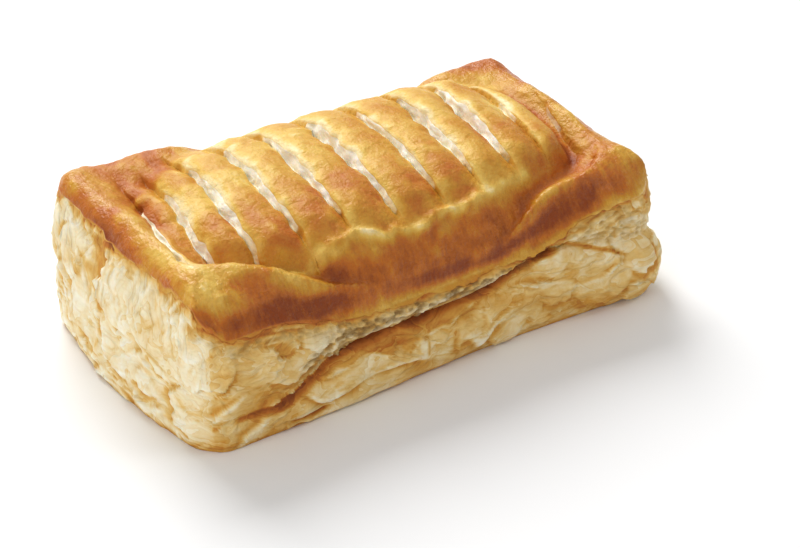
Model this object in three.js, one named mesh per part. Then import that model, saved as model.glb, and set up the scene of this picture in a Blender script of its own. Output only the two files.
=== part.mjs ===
// A filled puff pastry roll: a lower and an upper sheet of pastry sealed along their edges round a filling.
// The upper sheet is slit across its crown. Its rim stands up at the ends and rolls down over the long sides.
// Millimetres, +Z up. X runs along the roll and Y across it. The origin is at the base's centre.
import * as THREE from "three";
import { mergeVertices } from "three/addons/utils/BufferGeometryUtils.js";

// Plan
const HALF_LENGTH = 71.5;
const HALF_WIDTH = 42;
const BACK_TAPER = 6; // how much narrower the right end is, taken off the back
const CORNER_RADIUS_BASE = 7;
const CORNER_RADIUS_RIM = [8, 8.5]; // at the front corners and at the back ones
const WAIST = 2; // how far the long sides draw in midway
const WAIST_CENTRE = 14;
const WAIST_REACH = 36;

// Rim of the upper sheet
const RIM_LEFT = 45.5;
const RIM_RIGHT = 41;
const END_CREST = 6; // from an end's edge to the rim's crest
const END_ROLL = 4; // how far that edge lies below the crest
const EAR_CREST_FRONT = [22, 17]; // from a long side's edge to the crest, at the left and right front corners
const EAR_CREST_BACK = 7; // the same, at both back corners
const SIDE_CREST = 5; // and midway along a side
const EAR_LENGTHENING = 1.25; // how much further the crest's inset reaches than its dip
const SIDE_ROLL = 0.6; // how far a long side's edge lies below the crest, for each millimetre between them
const ROLL_POWER = 2.5;
const SIDE_DIP = 14.6; // how far the crest sinks midway along the long sides
const DIP_FRONT = { centre: -0.6, reach: 44 };
const DIP_BACK = { centre: 7, reach: 32 };
const DIP_POWER = 4.2;
const CORNER_PERK = [4.5, 1]; // how far the rim stands up at the left and right front corners
const CORNER_DROOP = 3; // how far it sags at the back ones
const RIM_FALL = 0.6; // slope from the crest to the trough inside it
const RIM_FALL_EASE = 4;

// Crown over the filling
const CROWN_HEIGHT = 50;
const CROWN_FOOT = 24;
const CROWN_HALF_LENGTH = 66;
const CROWN_HALF_WIDTH = 42;
const CROWN_LENGTH_POWER = 4; // a higher power keeps the crown level for longer
const CROWN_WIDTH_POWER = 2.9;
const CROWN_ROUND = 0.45;
const FOLD_BLEND = 2.5; // how softly the crown runs into the rim

// Slits across the crown, numbered from the middle one
const SLITS_EACH_WAY = 5;
const SLIT_CENTRE = -3.5;
const SLIT_PITCH_LEFT = 14.4;
const SLIT_PITCH_RIGHT = 13.2;
const SLIT_CROWDING = 0.0077; // how the pitch closes up towards the left end
const SLIT_SHIFT = 1; // most that a slit strays along the roll
const SLIT_LEAN = 0.08; // slope of the slits away from square
const SLIT_FAN = 0.14; // how much more the outermost slits lean
const SLIT_HALF_WIDTH = 1.3;
const SLIT_DEPTH = 2.4;
const SLIT_NEAR = -31;
const SLIT_FAR = 24;
const SLIT_SHORTER = 7; // how much shorter the outermost slits are at each end
const SLIT_STRAY = 1.5; // most that a slit's end strays across the roll
const SLIT_FLOOR = [-0.65, -0.35]; // where the floor lies across a slit
const SLIT_SHUT_SHARE = 0.4; // width of a shut slit over an open one
const SLIT_ROUND = 0.6; // a lower power keeps a slit wide for longer
const STRIP_RISE = 1.7; // how far the strips swell between the slits
const STRIP_TILT = 1.5; // how far a strip's left edge rises, and its right edge sinks, beside an open slit
const STRIP_LAP = 0.6; // share of that tilt which is left where the slit is shut
const STRIP_START = [-1, 7]; // where the strips begin to swell, past the near ends of the slits
const STRIP_STOP = [0, 14]; // where they flatten out, past the far ends
const STRIP_LAST = [56, 66]; // and towards the ends of the roll

// How far each slit gapes and where along it, from the left one to the right one
const SLIT_GAPE = [0.75, 0.6, 0.8, 0.7, 0.75, 1, 0.4, 0.8, 0.95, 0.25, 0.35];
const SLIT_WIDEST = [0.2, 0.45, 0.5, 0.7, 0.6, 0.5, 0.5, 0.55, 0.6, 0.5, 0.5];

// Folds of the rim against the crown: crest lines that keep the crown on their left hand
const FOLD_LEFT = [
  [-64, 26, 43],
  [-66, 0, 45],
  [-66, -22, 44.6],
  [-57, -26, 44.3],
  [-46, -33, 41.8],
  [-36, -36, 36.6],
  [-24, -37, 29.5],
];
const FOLD_RIGHT = [
  [12.5, -39, 26.8],
  [21.5, -38, 27],
  [30, -36, 33],
  [35, -35, 36],
  [43, -34, 37.7],
  [58, -30, 37],
  [64, -20, 39],
  [66, 0, 41],
  [63, 22, 40],
];
const FOLD_TIP = [2, 22]; // how far from its ends a fold rises
const FOLD_RISE = 0.9;
const FOLD_REACH = 4;
const FOLD_MARGIN = [0.5, 4]; // how far in from the edges a fold starts
const VALLEY_DEPTH = 2.2;
const VALLEY_OFFSET = 6; // from a fold's crest to the valley inside it
const VALLEY_REACH = 4.6;

// Sides: the lower sheet, the seam and the upper sheet's cut edge
const SEAM_CORNER = 10.5;
const SEAM_MIDDLE = 19.2;
const SEAM_RISE = [-54, -26]; // where the seam climbs along the front
const SEAM_LIFT = 6.3; // where the lower sheet puffs up near one corner
const SEAM_LIFT_CENTRE = 35;
const SEAM_LIFT_REACH = 15;
const SEAM_MOST = 0.92; // of the height of the side
const SEAM_DEPTH_END = 0.3;
const SEAM_DEPTH_SIDE = 2.4;
const SEAM_SHARPNESS = 5;
const UNDERCUT = 0.8; // how far the base is drawn in under the sides
const LOWER_BULGE = 2.5;
const UPPER_BULGE_SIDE = 2;
const UPPER_BULGE_END = 0.8;
const BULGE_POWER = 0.8;
const FLARE = [5, 1.5]; // how far the lower sheet spreads at the right end's front and back corners
const FLARE_SHARE = [0.45, 0.95]; // where it spreads, of the half length
const END_BULGE_LEFT = 6;
const END_BULGE_RIGHT = 2;

// Flakes on the cut sides
const FLAKE_COUNT = 150;
const FLAKE_LONG = [5, 12];
const FLAKE_TALL = [2.5, 6];
const FLAKE_PROUD = [0.7, 1.8];
const FLAKE_TILT = 0.6;
const FLAKE_LOWEST = 3;
const FLAKE_HIGHEST = 40;
const FLAKE_LIFT = [0.6, 0.4]; // thickness at a flake's middle, and how much thicker its lower edge is

// Grid that the dough is shaped on
const STRIP_COLUMNS = 2;
const MARGIN_COLUMNS = 4;
const ROWS = 30;
const ROW_CROWDING = 0.2; // closer rows at the long edges
const LOWER_LAYERS = 8; // below the seam
const UPPER_LAYERS = 8;

const { lerp, smoothstep, clamp } = THREE.MathUtils;
const bell = (x, centre, reach, power = 2) => Math.exp(-(Math.abs((x - centre) / reach) ** power));
const softMax = (a, b, blend) => (a + b + Math.hypot(a - b, blend)) / 2;
const between = ([low, high], share) => lerp(low, high, share);
const lengthShare = (x) => (x / HALF_LENGTH + 1) / 2;
const widthShare = (y) => (y / HALF_WIDTH + 1) / 2;

// A repeatable number from 0 to 1 for a whole number and a numbered stream.
function chance(index, stream) {
  const wave = Math.sin(index * 12.9898 + stream * 78.233) * 43758.5453;
  return wave - Math.floor(wave);
}
const stray = (index, stream) => 2 * chance(index, stream) - 1;

// Slits: where each lies, how it leans, where it ends and how wide it gapes.
const slits = [];
for (let i = -SLITS_EACH_WAY; i <= SLITS_EACH_WAY; i += 1) {
  const outward = (i / SLITS_EACH_WAY) ** 2;
  const step = i < 0 ? SLIT_PITCH_LEFT * (1 - SLIT_CROWDING * i * i) : SLIT_PITCH_RIGHT;
  slits.push({
    x: SLIT_CENTRE + step * i + SLIT_SHIFT * stray(i, 1),
    lean: SLIT_LEAN + SLIT_FAN * outward,
    near: SLIT_NEAR + SLIT_SHORTER * outward + SLIT_STRAY * stray(i, 2),
    far: SLIT_FAR - SLIT_SHORTER * outward + SLIT_STRAY * stray(i, 3),
    gape: SLIT_GAPE[i + SLITS_EACH_WAY],
    widest: SLIT_WIDEST[i + SLITS_EACH_WAY],
  });
}

// How wide a slit gapes at a place across the roll, from 0 at its ends.
function openness({ near, far, gape, widest }, y) {
  const along = clamp((y - near) / (far - near), 0, 1);
  const share = along < widest ? along / widest : (1 - along) / (1 - widest);
  return gape * smoothstep(share, 0, 1) ** SLIT_ROUND;
}

// Columns of the grid along the roll. Each lies between two slits, or in one at a place across it.
const SLIT_PLACES = [-1, ...SLIT_FLOOR, 1];

function gridColumns() {
  const columns = [];
  const evenly = (from, to, count, left, right) => {
    for (let k = 1; k <= count; k += 1) {
      const share = k / (count + 1);
      columns.push({ x: lerp(from, to, share), left, right, share });
    }
  };
  const first = slits[0];
  const last = slits[slits.length - 1];
  const end = { lean: 0 };
  columns.push({ x: -HALF_LENGTH, left: end, right: first, share: 0 });
  evenly(-HALF_LENGTH, first.x - SLIT_HALF_WIDTH, MARGIN_COLUMNS, end, first);
  slits.forEach((slit, i) => {
    for (const place of SLIT_PLACES) columns.push({ x: slit.x + place * SLIT_HALF_WIDTH, slit, place });
    const next = slits[i + 1];
    if (next) evenly(slit.x + SLIT_HALF_WIDTH, next.x - SLIT_HALF_WIDTH, STRIP_COLUMNS, slit, next);
  });
  evenly(last.x + SLIT_HALF_WIDTH, HALF_LENGTH, MARGIN_COLUMNS, last, end);
  columns.push({ x: HALF_LENGTH, left: last, right: end, share: 1 });
  return columns;
}

const rimRadius = (y) => between(CORNER_RADIUS_RIM, widthShare(y));

// Plan position and outward direction of a nominal point, with the four corners rounded.
function plan(x, y, radius) {
  const overX = Math.max(0, Math.abs(x) - (HALF_LENGTH - radius));
  const overY = Math.max(0, Math.abs(y) - (HALF_WIDTH - radius));
  const roundX = overX * Math.sqrt(1 - overY ** 2 / (2 * radius ** 2));
  const roundY = overY * Math.sqrt(1 - overX ** 2 / (2 * radius ** 2));
  const px = x + Math.sign(x) * (roundX - overX);
  const waist = WAIST * bell(x, WAIST_CENTRE, WAIST_REACH) * Math.abs(y / HALF_WIDTH) ** 3;
  const squareY = y + Math.sign(y) * (roundY - overY - waist);
  const py = squareY - BACK_TAPER * lengthShare(x) * widthShare(y);
  const out = new THREE.Vector2(Math.sign(x) * roundX, Math.sign(y) * roundY);
  return { x: px, y: py, out: out.normalize() };
}

// Upper surface before the slits: the rim, with the crown rising inside it.
const rollDown = (share) => Math.max(0, 1 - share) ** ROLL_POWER;

function fallInside(distance) {
  const inside = Math.max(0, distance);
  return (RIM_FALL * inside * inside) / (inside + RIM_FALL_EASE);
}

// How far the dip along a long side has sunk, from 0 at the ends to 1 midway.
function sideDip(x, y, lengthening = 1) {
  const centre = lerp(DIP_FRONT.centre, DIP_BACK.centre, widthShare(y));
  const reach = lerp(DIP_FRONT.reach, DIP_BACK.reach, widthShare(y));
  return bell(x, centre, reach * lengthening, DIP_POWER);
}

function rimHeight(x, y) {
  const toEnd = HALF_LENGTH - Math.abs(x);
  const toSide = HALF_WIDTH - Math.abs(y);
  const level = lerp(RIM_LEFT, RIM_RIGHT, lengthShare(x));
  const ear = lerp(between(EAR_CREST_FRONT, lengthShare(x)), EAR_CREST_BACK, widthShare(y));
  const sideCrest = lerp(ear, SIDE_CREST, sideDip(x, y, EAR_LENGTHENING));
  const end = level - fallInside(toEnd - END_CREST);
  const side = level - SIDE_DIP * sideDip(x, y) - fallInside(toSide - sideCrest);
  const endRoll = END_ROLL * rollDown(toEnd / END_CREST);
  const sideRoll = SIDE_ROLL * sideCrest * rollDown(toSide / sideCrest);
  const corner = rimRadius(y);
  const sag = lerp(-between(CORNER_PERK, lengthShare(x)), CORNER_DROOP, widthShare(y));
  const droop = sag * rollDown(toEnd / corner) * rollDown(toSide / corner);
  return softMax(end, side, FOLD_BLEND) - Math.max(endRoll, sideRoll) - droop;
}

function crownHeight(x, y) {
  const along = Math.abs(x / CROWN_HALF_LENGTH) ** CROWN_LENGTH_POWER;
  const across = Math.abs(y / CROWN_HALF_WIDTH) ** CROWN_WIDTH_POWER;
  return CROWN_FOOT + (CROWN_HEIGHT - CROWN_FOOT) * Math.max(0, 1 - along - across) ** CROWN_ROUND;
}

const topHeight = (x, y) => softMax(rimHeight(x, y), crownHeight(x, y), FOLD_BLEND);

// How far the strips have swollen at a place, from 0 outside the slits' ends.
function swelling(near, far, x, y) {
  const started = smoothstep(y - near, ...STRIP_START);
  const stopped = smoothstep(y - far, ...STRIP_STOP);
  return started * (1 - stopped) * (1 - smoothstep(Math.abs(x), ...STRIP_LAST));
}

// Swell and tilt of the strip between two slits, and the trench of a slit.
function stripRelief({ slit, place, left, right, share }, x, y) {
  if (slit) {
    const lap = Math.max(openness(slit, y), STRIP_LAP * swelling(slit.near, slit.far, x, y));
    return lap * (STRIP_TILT * place - (Math.abs(place) < 1 ? SLIT_DEPTH : 0));
  }
  if (!left.gape || !right.gape) return 0;
  const swollen = swelling(lerp(left.near, right.near, share), lerp(left.far, right.far, share), x, y);
  const lap = Math.max(lerp(openness(left, y), openness(right, y), share), STRIP_LAP * swollen);
  return STRIP_TILT * lap * (1 - 2 * share) + STRIP_RISE * swollen * Math.sin(Math.PI * share);
}

// Half the width of a slit's columns: narrow where the slit is shut, wide where it gapes and past its ends.
function gapAt(slit, x, y) {
  const past = 1 - swelling(slit.near, slit.far, x, y);
  return SLIT_HALF_WIDTH * lerp(SLIT_SHUT_SHARE, 1, Math.max(openness(slit, y), past));
}

// How far a column leans with the slits beside it. The lean dies out towards the long edges.
function leanOf({ slit, left, right, share }, y) {
  const slope = slit ? slit.lean : lerp(left.lean, right.lean, share);
  return slope * y * (1 - (y / HALF_WIDTH) ** 2);
}

// Distance from a fold's crest line, below 0 on its right hand seen from above, and how far it has risen.
const folds = [FOLD_LEFT, FOLD_RIGHT].map((crest) => crest.map((corner) => new THREE.Vector3(...corner)));

function fromCrest(point, crest) {
  let nearest = Infinity;
  let signed = 0;
  for (let i = 1; i < crest.length; i += 1) {
    const stretch = new THREE.Line3(crest[i - 1], crest[i]);
    const apart = point.clone().sub(stretch.closestPointToPoint(point, true, new THREE.Vector3()));
    const way = stretch.delta(new THREE.Vector3());
    if (apart.length() < nearest) {
      nearest = apart.length();
      signed = nearest * Math.sign(way.x * apart.y - way.y * apart.x);
    }
  }
  const toTip = Math.min(point.distanceTo(crest[0]), point.distanceTo(crest[crest.length - 1]));
  return { signed, risen: smoothstep(toTip, ...FOLD_TIP) };
}

// Ridge of the nearest fold, with a valley between it and the crown.
function foldRelief(point, x, y) {
  let ridge = 0;
  let valley = 0;
  for (const crest of folds) {
    const { signed, risen } = fromCrest(point, crest);
    ridge = Math.max(ridge, risen * bell(signed, 0, FOLD_REACH));
    valley = Math.max(valley, risen * bell(signed, VALLEY_OFFSET, VALLEY_REACH));
  }
  const fromEnd = smoothstep(HALF_LENGTH - Math.abs(x), ...FOLD_MARGIN);
  const fromSide = smoothstep(HALF_WIDTH - Math.abs(y), ...FOLD_MARGIN);
  return fromEnd * fromSide * (FOLD_RISE * ridge - VALLEY_DEPTH * valley);
}

// Height of the seam between the two sheets.
function seamHeight(x, y) {
  const along = (place) =>
    lerp(SEAM_CORNER, SEAM_MIDDLE, smoothstep(place, ...SEAM_RISE)) +
    SEAM_LIFT * bell(place, SEAM_LIFT_CENTRE, SEAM_LIFT_REACH);
  const seam = lerp(along(x), along(-x), widthShare(y));
  return Math.min(seam, SEAM_MOST * topHeight(x, y));
}

// Flakes scattered round the sides: distance along the edge, height, size and how far each stands proud.
const EDGE_LENGTH = 4 * (HALF_LENGTH + HALF_WIDTH);
const flakes = [];
for (let i = 0; i < FLAKE_COUNT; i += 1) {
  flakes.push({
    along: EDGE_LENGTH * ((i + chance(i, 5)) / FLAKE_COUNT),
    up: lerp(FLAKE_LOWEST, FLAKE_HIGHEST, chance(i, 6)),
    long: between(FLAKE_LONG, chance(i, 7)),
    tall: between(FLAKE_TALL, chance(i, 8)),
    proud: between(FLAKE_PROUD, chance(i, 9)),
    tilt: FLAKE_TILT * stray(i, 10),
  });
}

// Distance round the edge from the front left corner.
function edgeDistance(x, y) {
  if (y <= -HALF_WIDTH) return x + HALF_LENGTH;
  if (x >= HALF_LENGTH) return 2 * HALF_LENGTH + y + HALF_WIDTH;
  if (y >= HALF_WIDTH) return 3 * HALF_LENGTH + 2 * HALF_WIDTH - x;
  return 4 * HALF_LENGTH + 3 * HALF_WIDTH - y;
}

function flakeRelief(along, up) {
  let relief = 0;
  for (const flake of flakes) {
    const ahead = along - flake.along;
    const near = ahead - EDGE_LENGTH * Math.round(ahead / EDGE_LENGTH);
    const above = up - flake.up;
    const p = (near * Math.cos(flake.tilt) + above * Math.sin(flake.tilt)) / flake.long;
    const q = (above * Math.cos(flake.tilt) - near * Math.sin(flake.tilt)) / flake.tall;
    const reach = p * p + q * q;
    const lift = FLAKE_LIFT[0] - FLAKE_LIFT[1] * q;
    if (reach < 1) relief = Math.max(relief, flake.proud * (1 - reach * reach) * lift);
  }
  return relief;
}

// Side surface at a layer of the grid. Share runs from 0 at the base or seam to 1 at the seam or rim.
function sidePoint(x, y, layer) {
  const rim = topHeight(x, y);
  const seam = seamHeight(x, y);
  const upper = layer > LOWER_LAYERS;
  const share = upper ? (layer - LOWER_LAYERS) / UPPER_LAYERS : layer / LOWER_LAYERS;
  const z = upper ? lerp(seam, rim, share) : seam * share;
  const radius = lerp(CORNER_RADIUS_BASE, rimRadius(y), (z / rim) ** 2);
  const { x: px, y: py, out } = plan(x, y, radius);
  const sideness = Math.abs(out.y);
  const parting = sideness * sideDip(x, y);
  const toSeam = upper ? 1 - share : share;
  const swell = Math.sin(Math.PI * share) ** BULGE_POWER;
  const spread = between(FLARE, widthShare(y)) * smoothstep(x / HALF_LENGTH, ...FLARE_SHARE);
  const upperBulge = lerp(UPPER_BULGE_END, UPPER_BULGE_SIDE, parting) * swell;
  const lowerBulge = (LOWER_BULGE * parting + spread) * swell - UNDERCUT * (1 - share) ** 2;
  const endBulge = x < 0 ? END_BULGE_LEFT : END_BULGE_RIGHT;
  const endSwell = (1 - sideness) * (1 - (y / HALF_WIDTH) ** 2) * (1 - z / rim) ** BULGE_POWER;
  const free = Math.sqrt(Math.sin(Math.PI * clamp(z / rim, 0, 1))); // flakes die out at the base and the rim
  const offset =
    (upper ? upperBulge : lowerBulge) -
    lerp(SEAM_DEPTH_END, SEAM_DEPTH_SIDE, parting) * toSeam ** SEAM_SHARPNESS +
    endBulge * endSwell +
    flakeRelief(edgeDistance(x, y), z) * free;
  return new THREE.Vector3(px + out.x * offset, py + out.y * offset, z);
}

function topPoint(column, y) {
  const { slit, place } = column;
  const x = (slit ? slit.x + place * gapAt(slit, column.x, y) : column.x) + leanOf(column, y);
  const { x: px, y: py } = plan(x, y, rimRadius(y));
  const point = new THREE.Vector3(px, py, topHeight(x, y) + stripRelief(column, x, y));
  point.z += foldRelief(point, x, y);
  return point;
}

// A finely divided box is shaped into the roll. Its underside is replaced by one flat face.
function pastryGeometry() {
  const columns = gridColumns();
  const layers = LOWER_LAYERS + UPPER_LAYERS;
  const box = new THREE.BoxGeometry(2, 2, 2, columns.length - 1, ROWS, layers);
  const underside = box.groups[5];
  box.setIndex([...box.index.array].slice(0, underside.start));
  box.deleteAttribute("normal");
  box.deleteAttribute("uv");
  const dough = mergeVertices(box, 1e-4);
  const position = dough.attributes.position;
  const base = [];
  for (let i = 0; i < position.count; i += 1) {
    const column = columns[Math.round(((position.getX(i) + 1) / 2) * (columns.length - 1))];
    const across = position.getY(i);
    const y = HALF_WIDTH * across * (1 + ROW_CROWDING * (1 - across * across));
    const layer = Math.round(((position.getZ(i) + 1) / 2) * layers);
    const point = layer === layers ? topPoint(column, y) : sidePoint(column.x, y, layer);
    position.setXYZ(i, point.x, point.y, point.z);
    if (layer === 0) {
      base.push({ index: i, turn: edgeDistance(column.x, y), flat: new THREE.Vector2(point.x, point.y) });
    }
  }
  base.sort((a, b) => a.turn - b.turn);
  const floor = THREE.ShapeUtils.triangulateShape(base.map((corner) => corner.flat), []);
  const floorIndex = floor.flatMap(([a, b, c]) => [base[c].index, base[b].index, base[a].index]);
  dough.setIndex([...dough.index.array, ...floorIndex]);
  dough.clearGroups();
  dough.computeBoundingBox();
  const middle = dough.boundingBox.getCenter(new THREE.Vector3());
  dough.translate(-middle.x, -middle.y, -dough.boundingBox.min.z);
  dough.computeVertexNormals();
  return dough;
}

const bakedPastry = new THREE.MeshStandardMaterial({ color: 0xd9a457, roughness: 0.5, metalness: 0 });

const pastryRoll = new THREE.Group();
const pastry = new THREE.Mesh(pastryGeometry(), bakedPastry);
pastry.name = "pastry";
pastryRoll.add(pastry);

export default pastryRoll;
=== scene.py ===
"""A baked puff pastry roll: glazed and slit on top, flaky and pale on its cut sides.

The pastry is one closed skin, shaped from a divided block. Sheets, torn leaves and crumb are its relief.
Sizes are millimetres until a mesh is written. X runs along the roll, Y across it towards the back, Z up.
Pairs of values are two ends for lerp, start and stop for ramp, or place and reach for bell.
A noise is given as its height, the size of its lumps and its seed.
"""
import itertools
import math

import bmesh
import bpy
import numpy as np
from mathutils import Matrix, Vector


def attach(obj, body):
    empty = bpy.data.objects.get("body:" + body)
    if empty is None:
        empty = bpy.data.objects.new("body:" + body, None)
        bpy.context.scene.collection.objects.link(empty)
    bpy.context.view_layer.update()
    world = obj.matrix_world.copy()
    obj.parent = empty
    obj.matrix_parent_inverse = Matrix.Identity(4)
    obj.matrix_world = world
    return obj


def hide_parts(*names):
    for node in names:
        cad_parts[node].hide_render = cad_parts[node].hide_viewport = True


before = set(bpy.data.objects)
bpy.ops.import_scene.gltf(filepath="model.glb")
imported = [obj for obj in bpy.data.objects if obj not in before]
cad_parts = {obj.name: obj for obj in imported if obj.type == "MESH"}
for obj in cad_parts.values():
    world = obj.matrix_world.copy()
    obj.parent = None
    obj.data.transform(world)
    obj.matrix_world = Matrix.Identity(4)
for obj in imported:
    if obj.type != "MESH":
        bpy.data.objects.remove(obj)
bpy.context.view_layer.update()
MM = 0.001

# Plan
HALF_LENGTH = 71.5
HALF_WIDTH = 42.0
BACK_TAPER = 6.0
FRAME_MIDDLE = (0.16, -1.91)
CORNER_RADIUS_BASE = 7.0
CORNER_RADIUS_RIM = (8.0, 8.5)
WAIST = 2.0
WAIST_PLACE = (14.0, 36.0)

# Rim of the upper sheet
RIM_LEVEL = (45.5, 41.0)
END_CREST = 6.0
END_ROLL = 4.0
EAR_CREST_FRONT = (22.0, 17.0)
EAR_CREST_BACK = 7.0
SIDE_CREST = 5.0
EAR_LENGTHENING = 1.25
SIDE_ROLL = 0.6
ROLL_POWER = 2.5
SIDE_DIP = 14.6
DIP_CENTRE = (-0.6, 7.0)
DIP_REACH = (44.0, 32.0)
DIP_POWER = 4.2
CORNER_PERK = (4.5, 1.0)
CORNER_DROOP = 3.0
RIM_FALL = 0.6
RIM_FALL_EASE = 4.0

# Crown over the filling
CROWN_HEIGHT = 50.0
CROWN_FOOT = 24.0
CROWN_HALF_LENGTH = 66.0
CROWN_HALF_WIDTH = 42.0
CROWN_LENGTH_POWER = 4.0
CROWN_WIDTH_POWER = 2.9
CROWN_ROUND = 0.45
FOLD_BLEND = 2.5

# Slits across the crown
SLITS_EACH_WAY = 5
SLIT_CENTRE = -3.5
SLIT_PITCH_LEFT = 14.4
SLIT_PITCH_RIGHT = 13.2
SLIT_CROWDING = 0.0077
SLIT_SHIFT = 1.0
SLIT_LEAN = 0.08
SLIT_FAN = 0.14
SLIT_HALF_WIDTH = 1.05
SLIT_DEPTH = 1.7
SLIT_NEAR = -31.0
SLIT_FAR = 24.0
SLIT_SHORTER = 7.0
SLIT_STRAY = 1.5
SLIT_FLOOR = -0.5
SLIT_SHUT_SHARE = 0.4
SLIT_TAPER = (0.75, 0.6)
SLIT_UNEVEN = (0.45, 4.0, 20)
SLIT_WANDER = (0.45, 3.0, 27)
SLIT_NOISE_APART = 9.0
STRIP_RISE = 1.7
STRIP_ROUND = 0.6
STRIP_TILT = 1.5
STRIP_LAP = 0.6
STRIP_START = (-1.0, 7.0)
STRIP_STOP = (0.0, 14.0)
STRIP_LAST = (56.0, 66.0)

# How far each slit gapes and where along it, from the left one to the right one
SLIT_GAPE = np.array([0.8, 0.6, 0.85, 0.85, 0.8, 1.3, 0.5, 0.9, 1.1, 0.12, 0.12])
SLIT_WIDEST = np.array([0.2, 0.4, 0.5, 0.75, 0.6, 0.75, 0.5, 0.65, 0.65, 0.5, 0.5])

# Folds of the rim against the crown: crest lines with the crown on their left hand
FOLD_LEFT = np.array([(-64, 26, 43), (-66, 0, 45), (-66, -22, 44.6), (-57, -26, 44.3), (-46, -33, 41.8),
                      (-36, -36, 36.6), (-24, -37, 29.5)], dtype=float)
FOLD_RIGHT = np.array([(12.5, -39, 26.8), (21.5, -38, 27), (30, -36, 33), (35, -35, 36), (43, -34, 37.7),
                       (58, -30, 37), (64, -20, 39), (66, 0, 41), (63, 22, 40)], dtype=float)
FOLD_TIP = (0.0, 16.0)
FOLD_ROUNDS = 3
FOLD_UPHILL = 0.4
FOLD_RISE = (2.2, 0.9)
FOLD_LOWER = (55.0, 62.0)
FOLD_REACH = 3.2
FOLD_MARGIN = (0.5, 4.0)
VALLEY_DEPTH = (4.0, 1.2)
VALLEY_FADE = (-26.0, 0.0)
VALLEY_PLACE = (6.5, 3.4)
FOLD_OUTSIDE = (-6.5, 5.0)
FOLD_SMOOTHING = 6

# Sides: lower sheet, seam and the upper sheet's cut edge
SEAM_HEIGHT = (10.5, 19.2)
SEAM_RISE = (-54.0, -26.0)
SEAM_LIFT = 6.3
SEAM_LIFT_PLACE = (35.0, 15.0)
SEAM_MOST = 0.92
SEAM_DEPTH = (0.3, 2.4)
SEAM_SHARPNESS = 5.0
UNDERCUT = 0.8
LOWER_BULGE = 2.5
UPPER_BULGE = (0.8, 2.0)
BULGE_POWER = 0.8
FLARE = (5.0, 1.5)
FLARE_SHARE = (0.45, 0.95)
END_BULGE = (6.0, 2.0)

# Relief of the crust
WRINKLES = ((0.4, 8.0, 1), (0.1, 3.4, 2), (0.05, 1.7, 3))
BUBBLES = ((1.0, 4.4, 25), (0.5, 2.3, 26))
BUBBLE_RISE = 0.6
RIM_STREAKS = ((0.16, (1.5, 7.0, 7.0), 4),)
RIDGE_RISE = 1.8
RIDGE_REACH = 1.7
RIDGE_PLACE = (-4.0, 42.0, 4.0)
RIDGE_FORWARD = 1.2
RIDGE_WANDER = ((1.3, 7.0, 28), (0.7, 2.6, 35))
RIDGE_BLISTER = 0.55
RIDGE_BLISTERS = ((0.5, 4.6, 5), (0.7, 2.2, 6))
SLIT_CRUMB = ((0.5, (1.6, 2.4, 1.0), 17),)
SLIT_CRUMB_OPENING = (0.04, 0.2)
SLIT_CRUMB_DEPTH = (0.02, 0.3)

# Patches of browning
PATCHES = ((1.0, 7.0, 7), (0.5, 3.0, 8))
PATCH_EDGE = (-0.25, 0.3)
PATCH_SHARE = 0.6
MOTTLE = ((0.6, 12.0, 9),)
MOTTLE_BAKE = 0.2
BUBBLE_PALE = 0.1

# Browning of the crown, with painted shade and highlights. A triple is a strength and where it sets in: start
# and stop
CROWN_BAKE = 0.2
# Painted shade on the back of the crown
CROWN_BACK_SHADE = (0.08, 4.0, 16.0)
CROWN_FRONT = (0.26, -16.0, 26.0)
STRIP_MIDDLE = 0.12
# Painted shade towards a strip's low edge, and a painted highlight along its lip and along the lip of a slit
STRIP_LOW_SHADE = (0.08, 0.4, 1.0)
STRIP_EDGE_SHADE = (0.14, 0.8, 1.0)
LIP_PAINTED_HIGHLIGHT = 0.32
LIP_REACH = 0.07
LIP_IN_SLIT = (0.3, 1.0)
RIDGE_PALE = 0.36
RIDGE_PALE_SHARE = 0.6
RIDGE_PALE_LUMPS = ((0.7, 2.8, 34),)

# Browning of the rim, with painted shade in its valley and painted highlight on its folds
RIM_FADE_END = (15.0, 4.0)
RIM_FADE_SIDE = 7.0
RIM_BAKE = 0.5
RIM_STEEP = (0.06, 0.95, 0.35)
RIM_FIBRES = ((0.06, (1.6, 4.5, 4.5), 21),)
# Painted highlight along the folds' crests
FOLD_HIGHLIGHT = 0.22
OUTSIDE_RIGHT = (0.234, 20.0, 35.0)
OUTSIDE_RIGHT_STOP = (58.0, 48.0)
OUTSIDE_LEFT = (0.18, -25.0, -40.0)
# Painted shade in the valley inside the folds: added browning and share of the rim's colour, more where it is
# shaded
VALLEY_SHADE_BAKE = (0.08, 0.26)
VALLEY_SHADE_SHARE = (0.5, 0.9)
VALLEY_SHADED_RIGHT = (-40.0, -25.0)
VALLEY_SHADED_BACK = (-8.0, 12.0)

# Left rim: paler towards the front with a painted highlight, browner towards the back, and browner along its
# edge
LEFT_RIM = (-56.0, -63.0)
LEFT_RIM_HIGHLIGHT_AND_BAKE = (-0.2, 0.1)
LEFT_RIM_TURN = (-32.0, 6.0)
LEFT_RIM_START = (-37.0, -30.0)
LEFT_EDGE = (0.06, -67.5, -70.5)

# Back left: darker behind the last slits, a painted shade in the hollow of the far-left ear
BACK_LEFT_SHADE_BAKE = 0.22
BACK_LEFT_SHARE = 0.8
BACK_LEFT_ALONG = (34.0, 46.0)
BACK_LEFT_ACROSS = (19.0, 28.0)
BACK_LEFT_SLANT = 0.6
BACK_LEFT_END = 0.2
BACK_LEFT_END_FADE = (4.0, 11.0)

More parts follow.
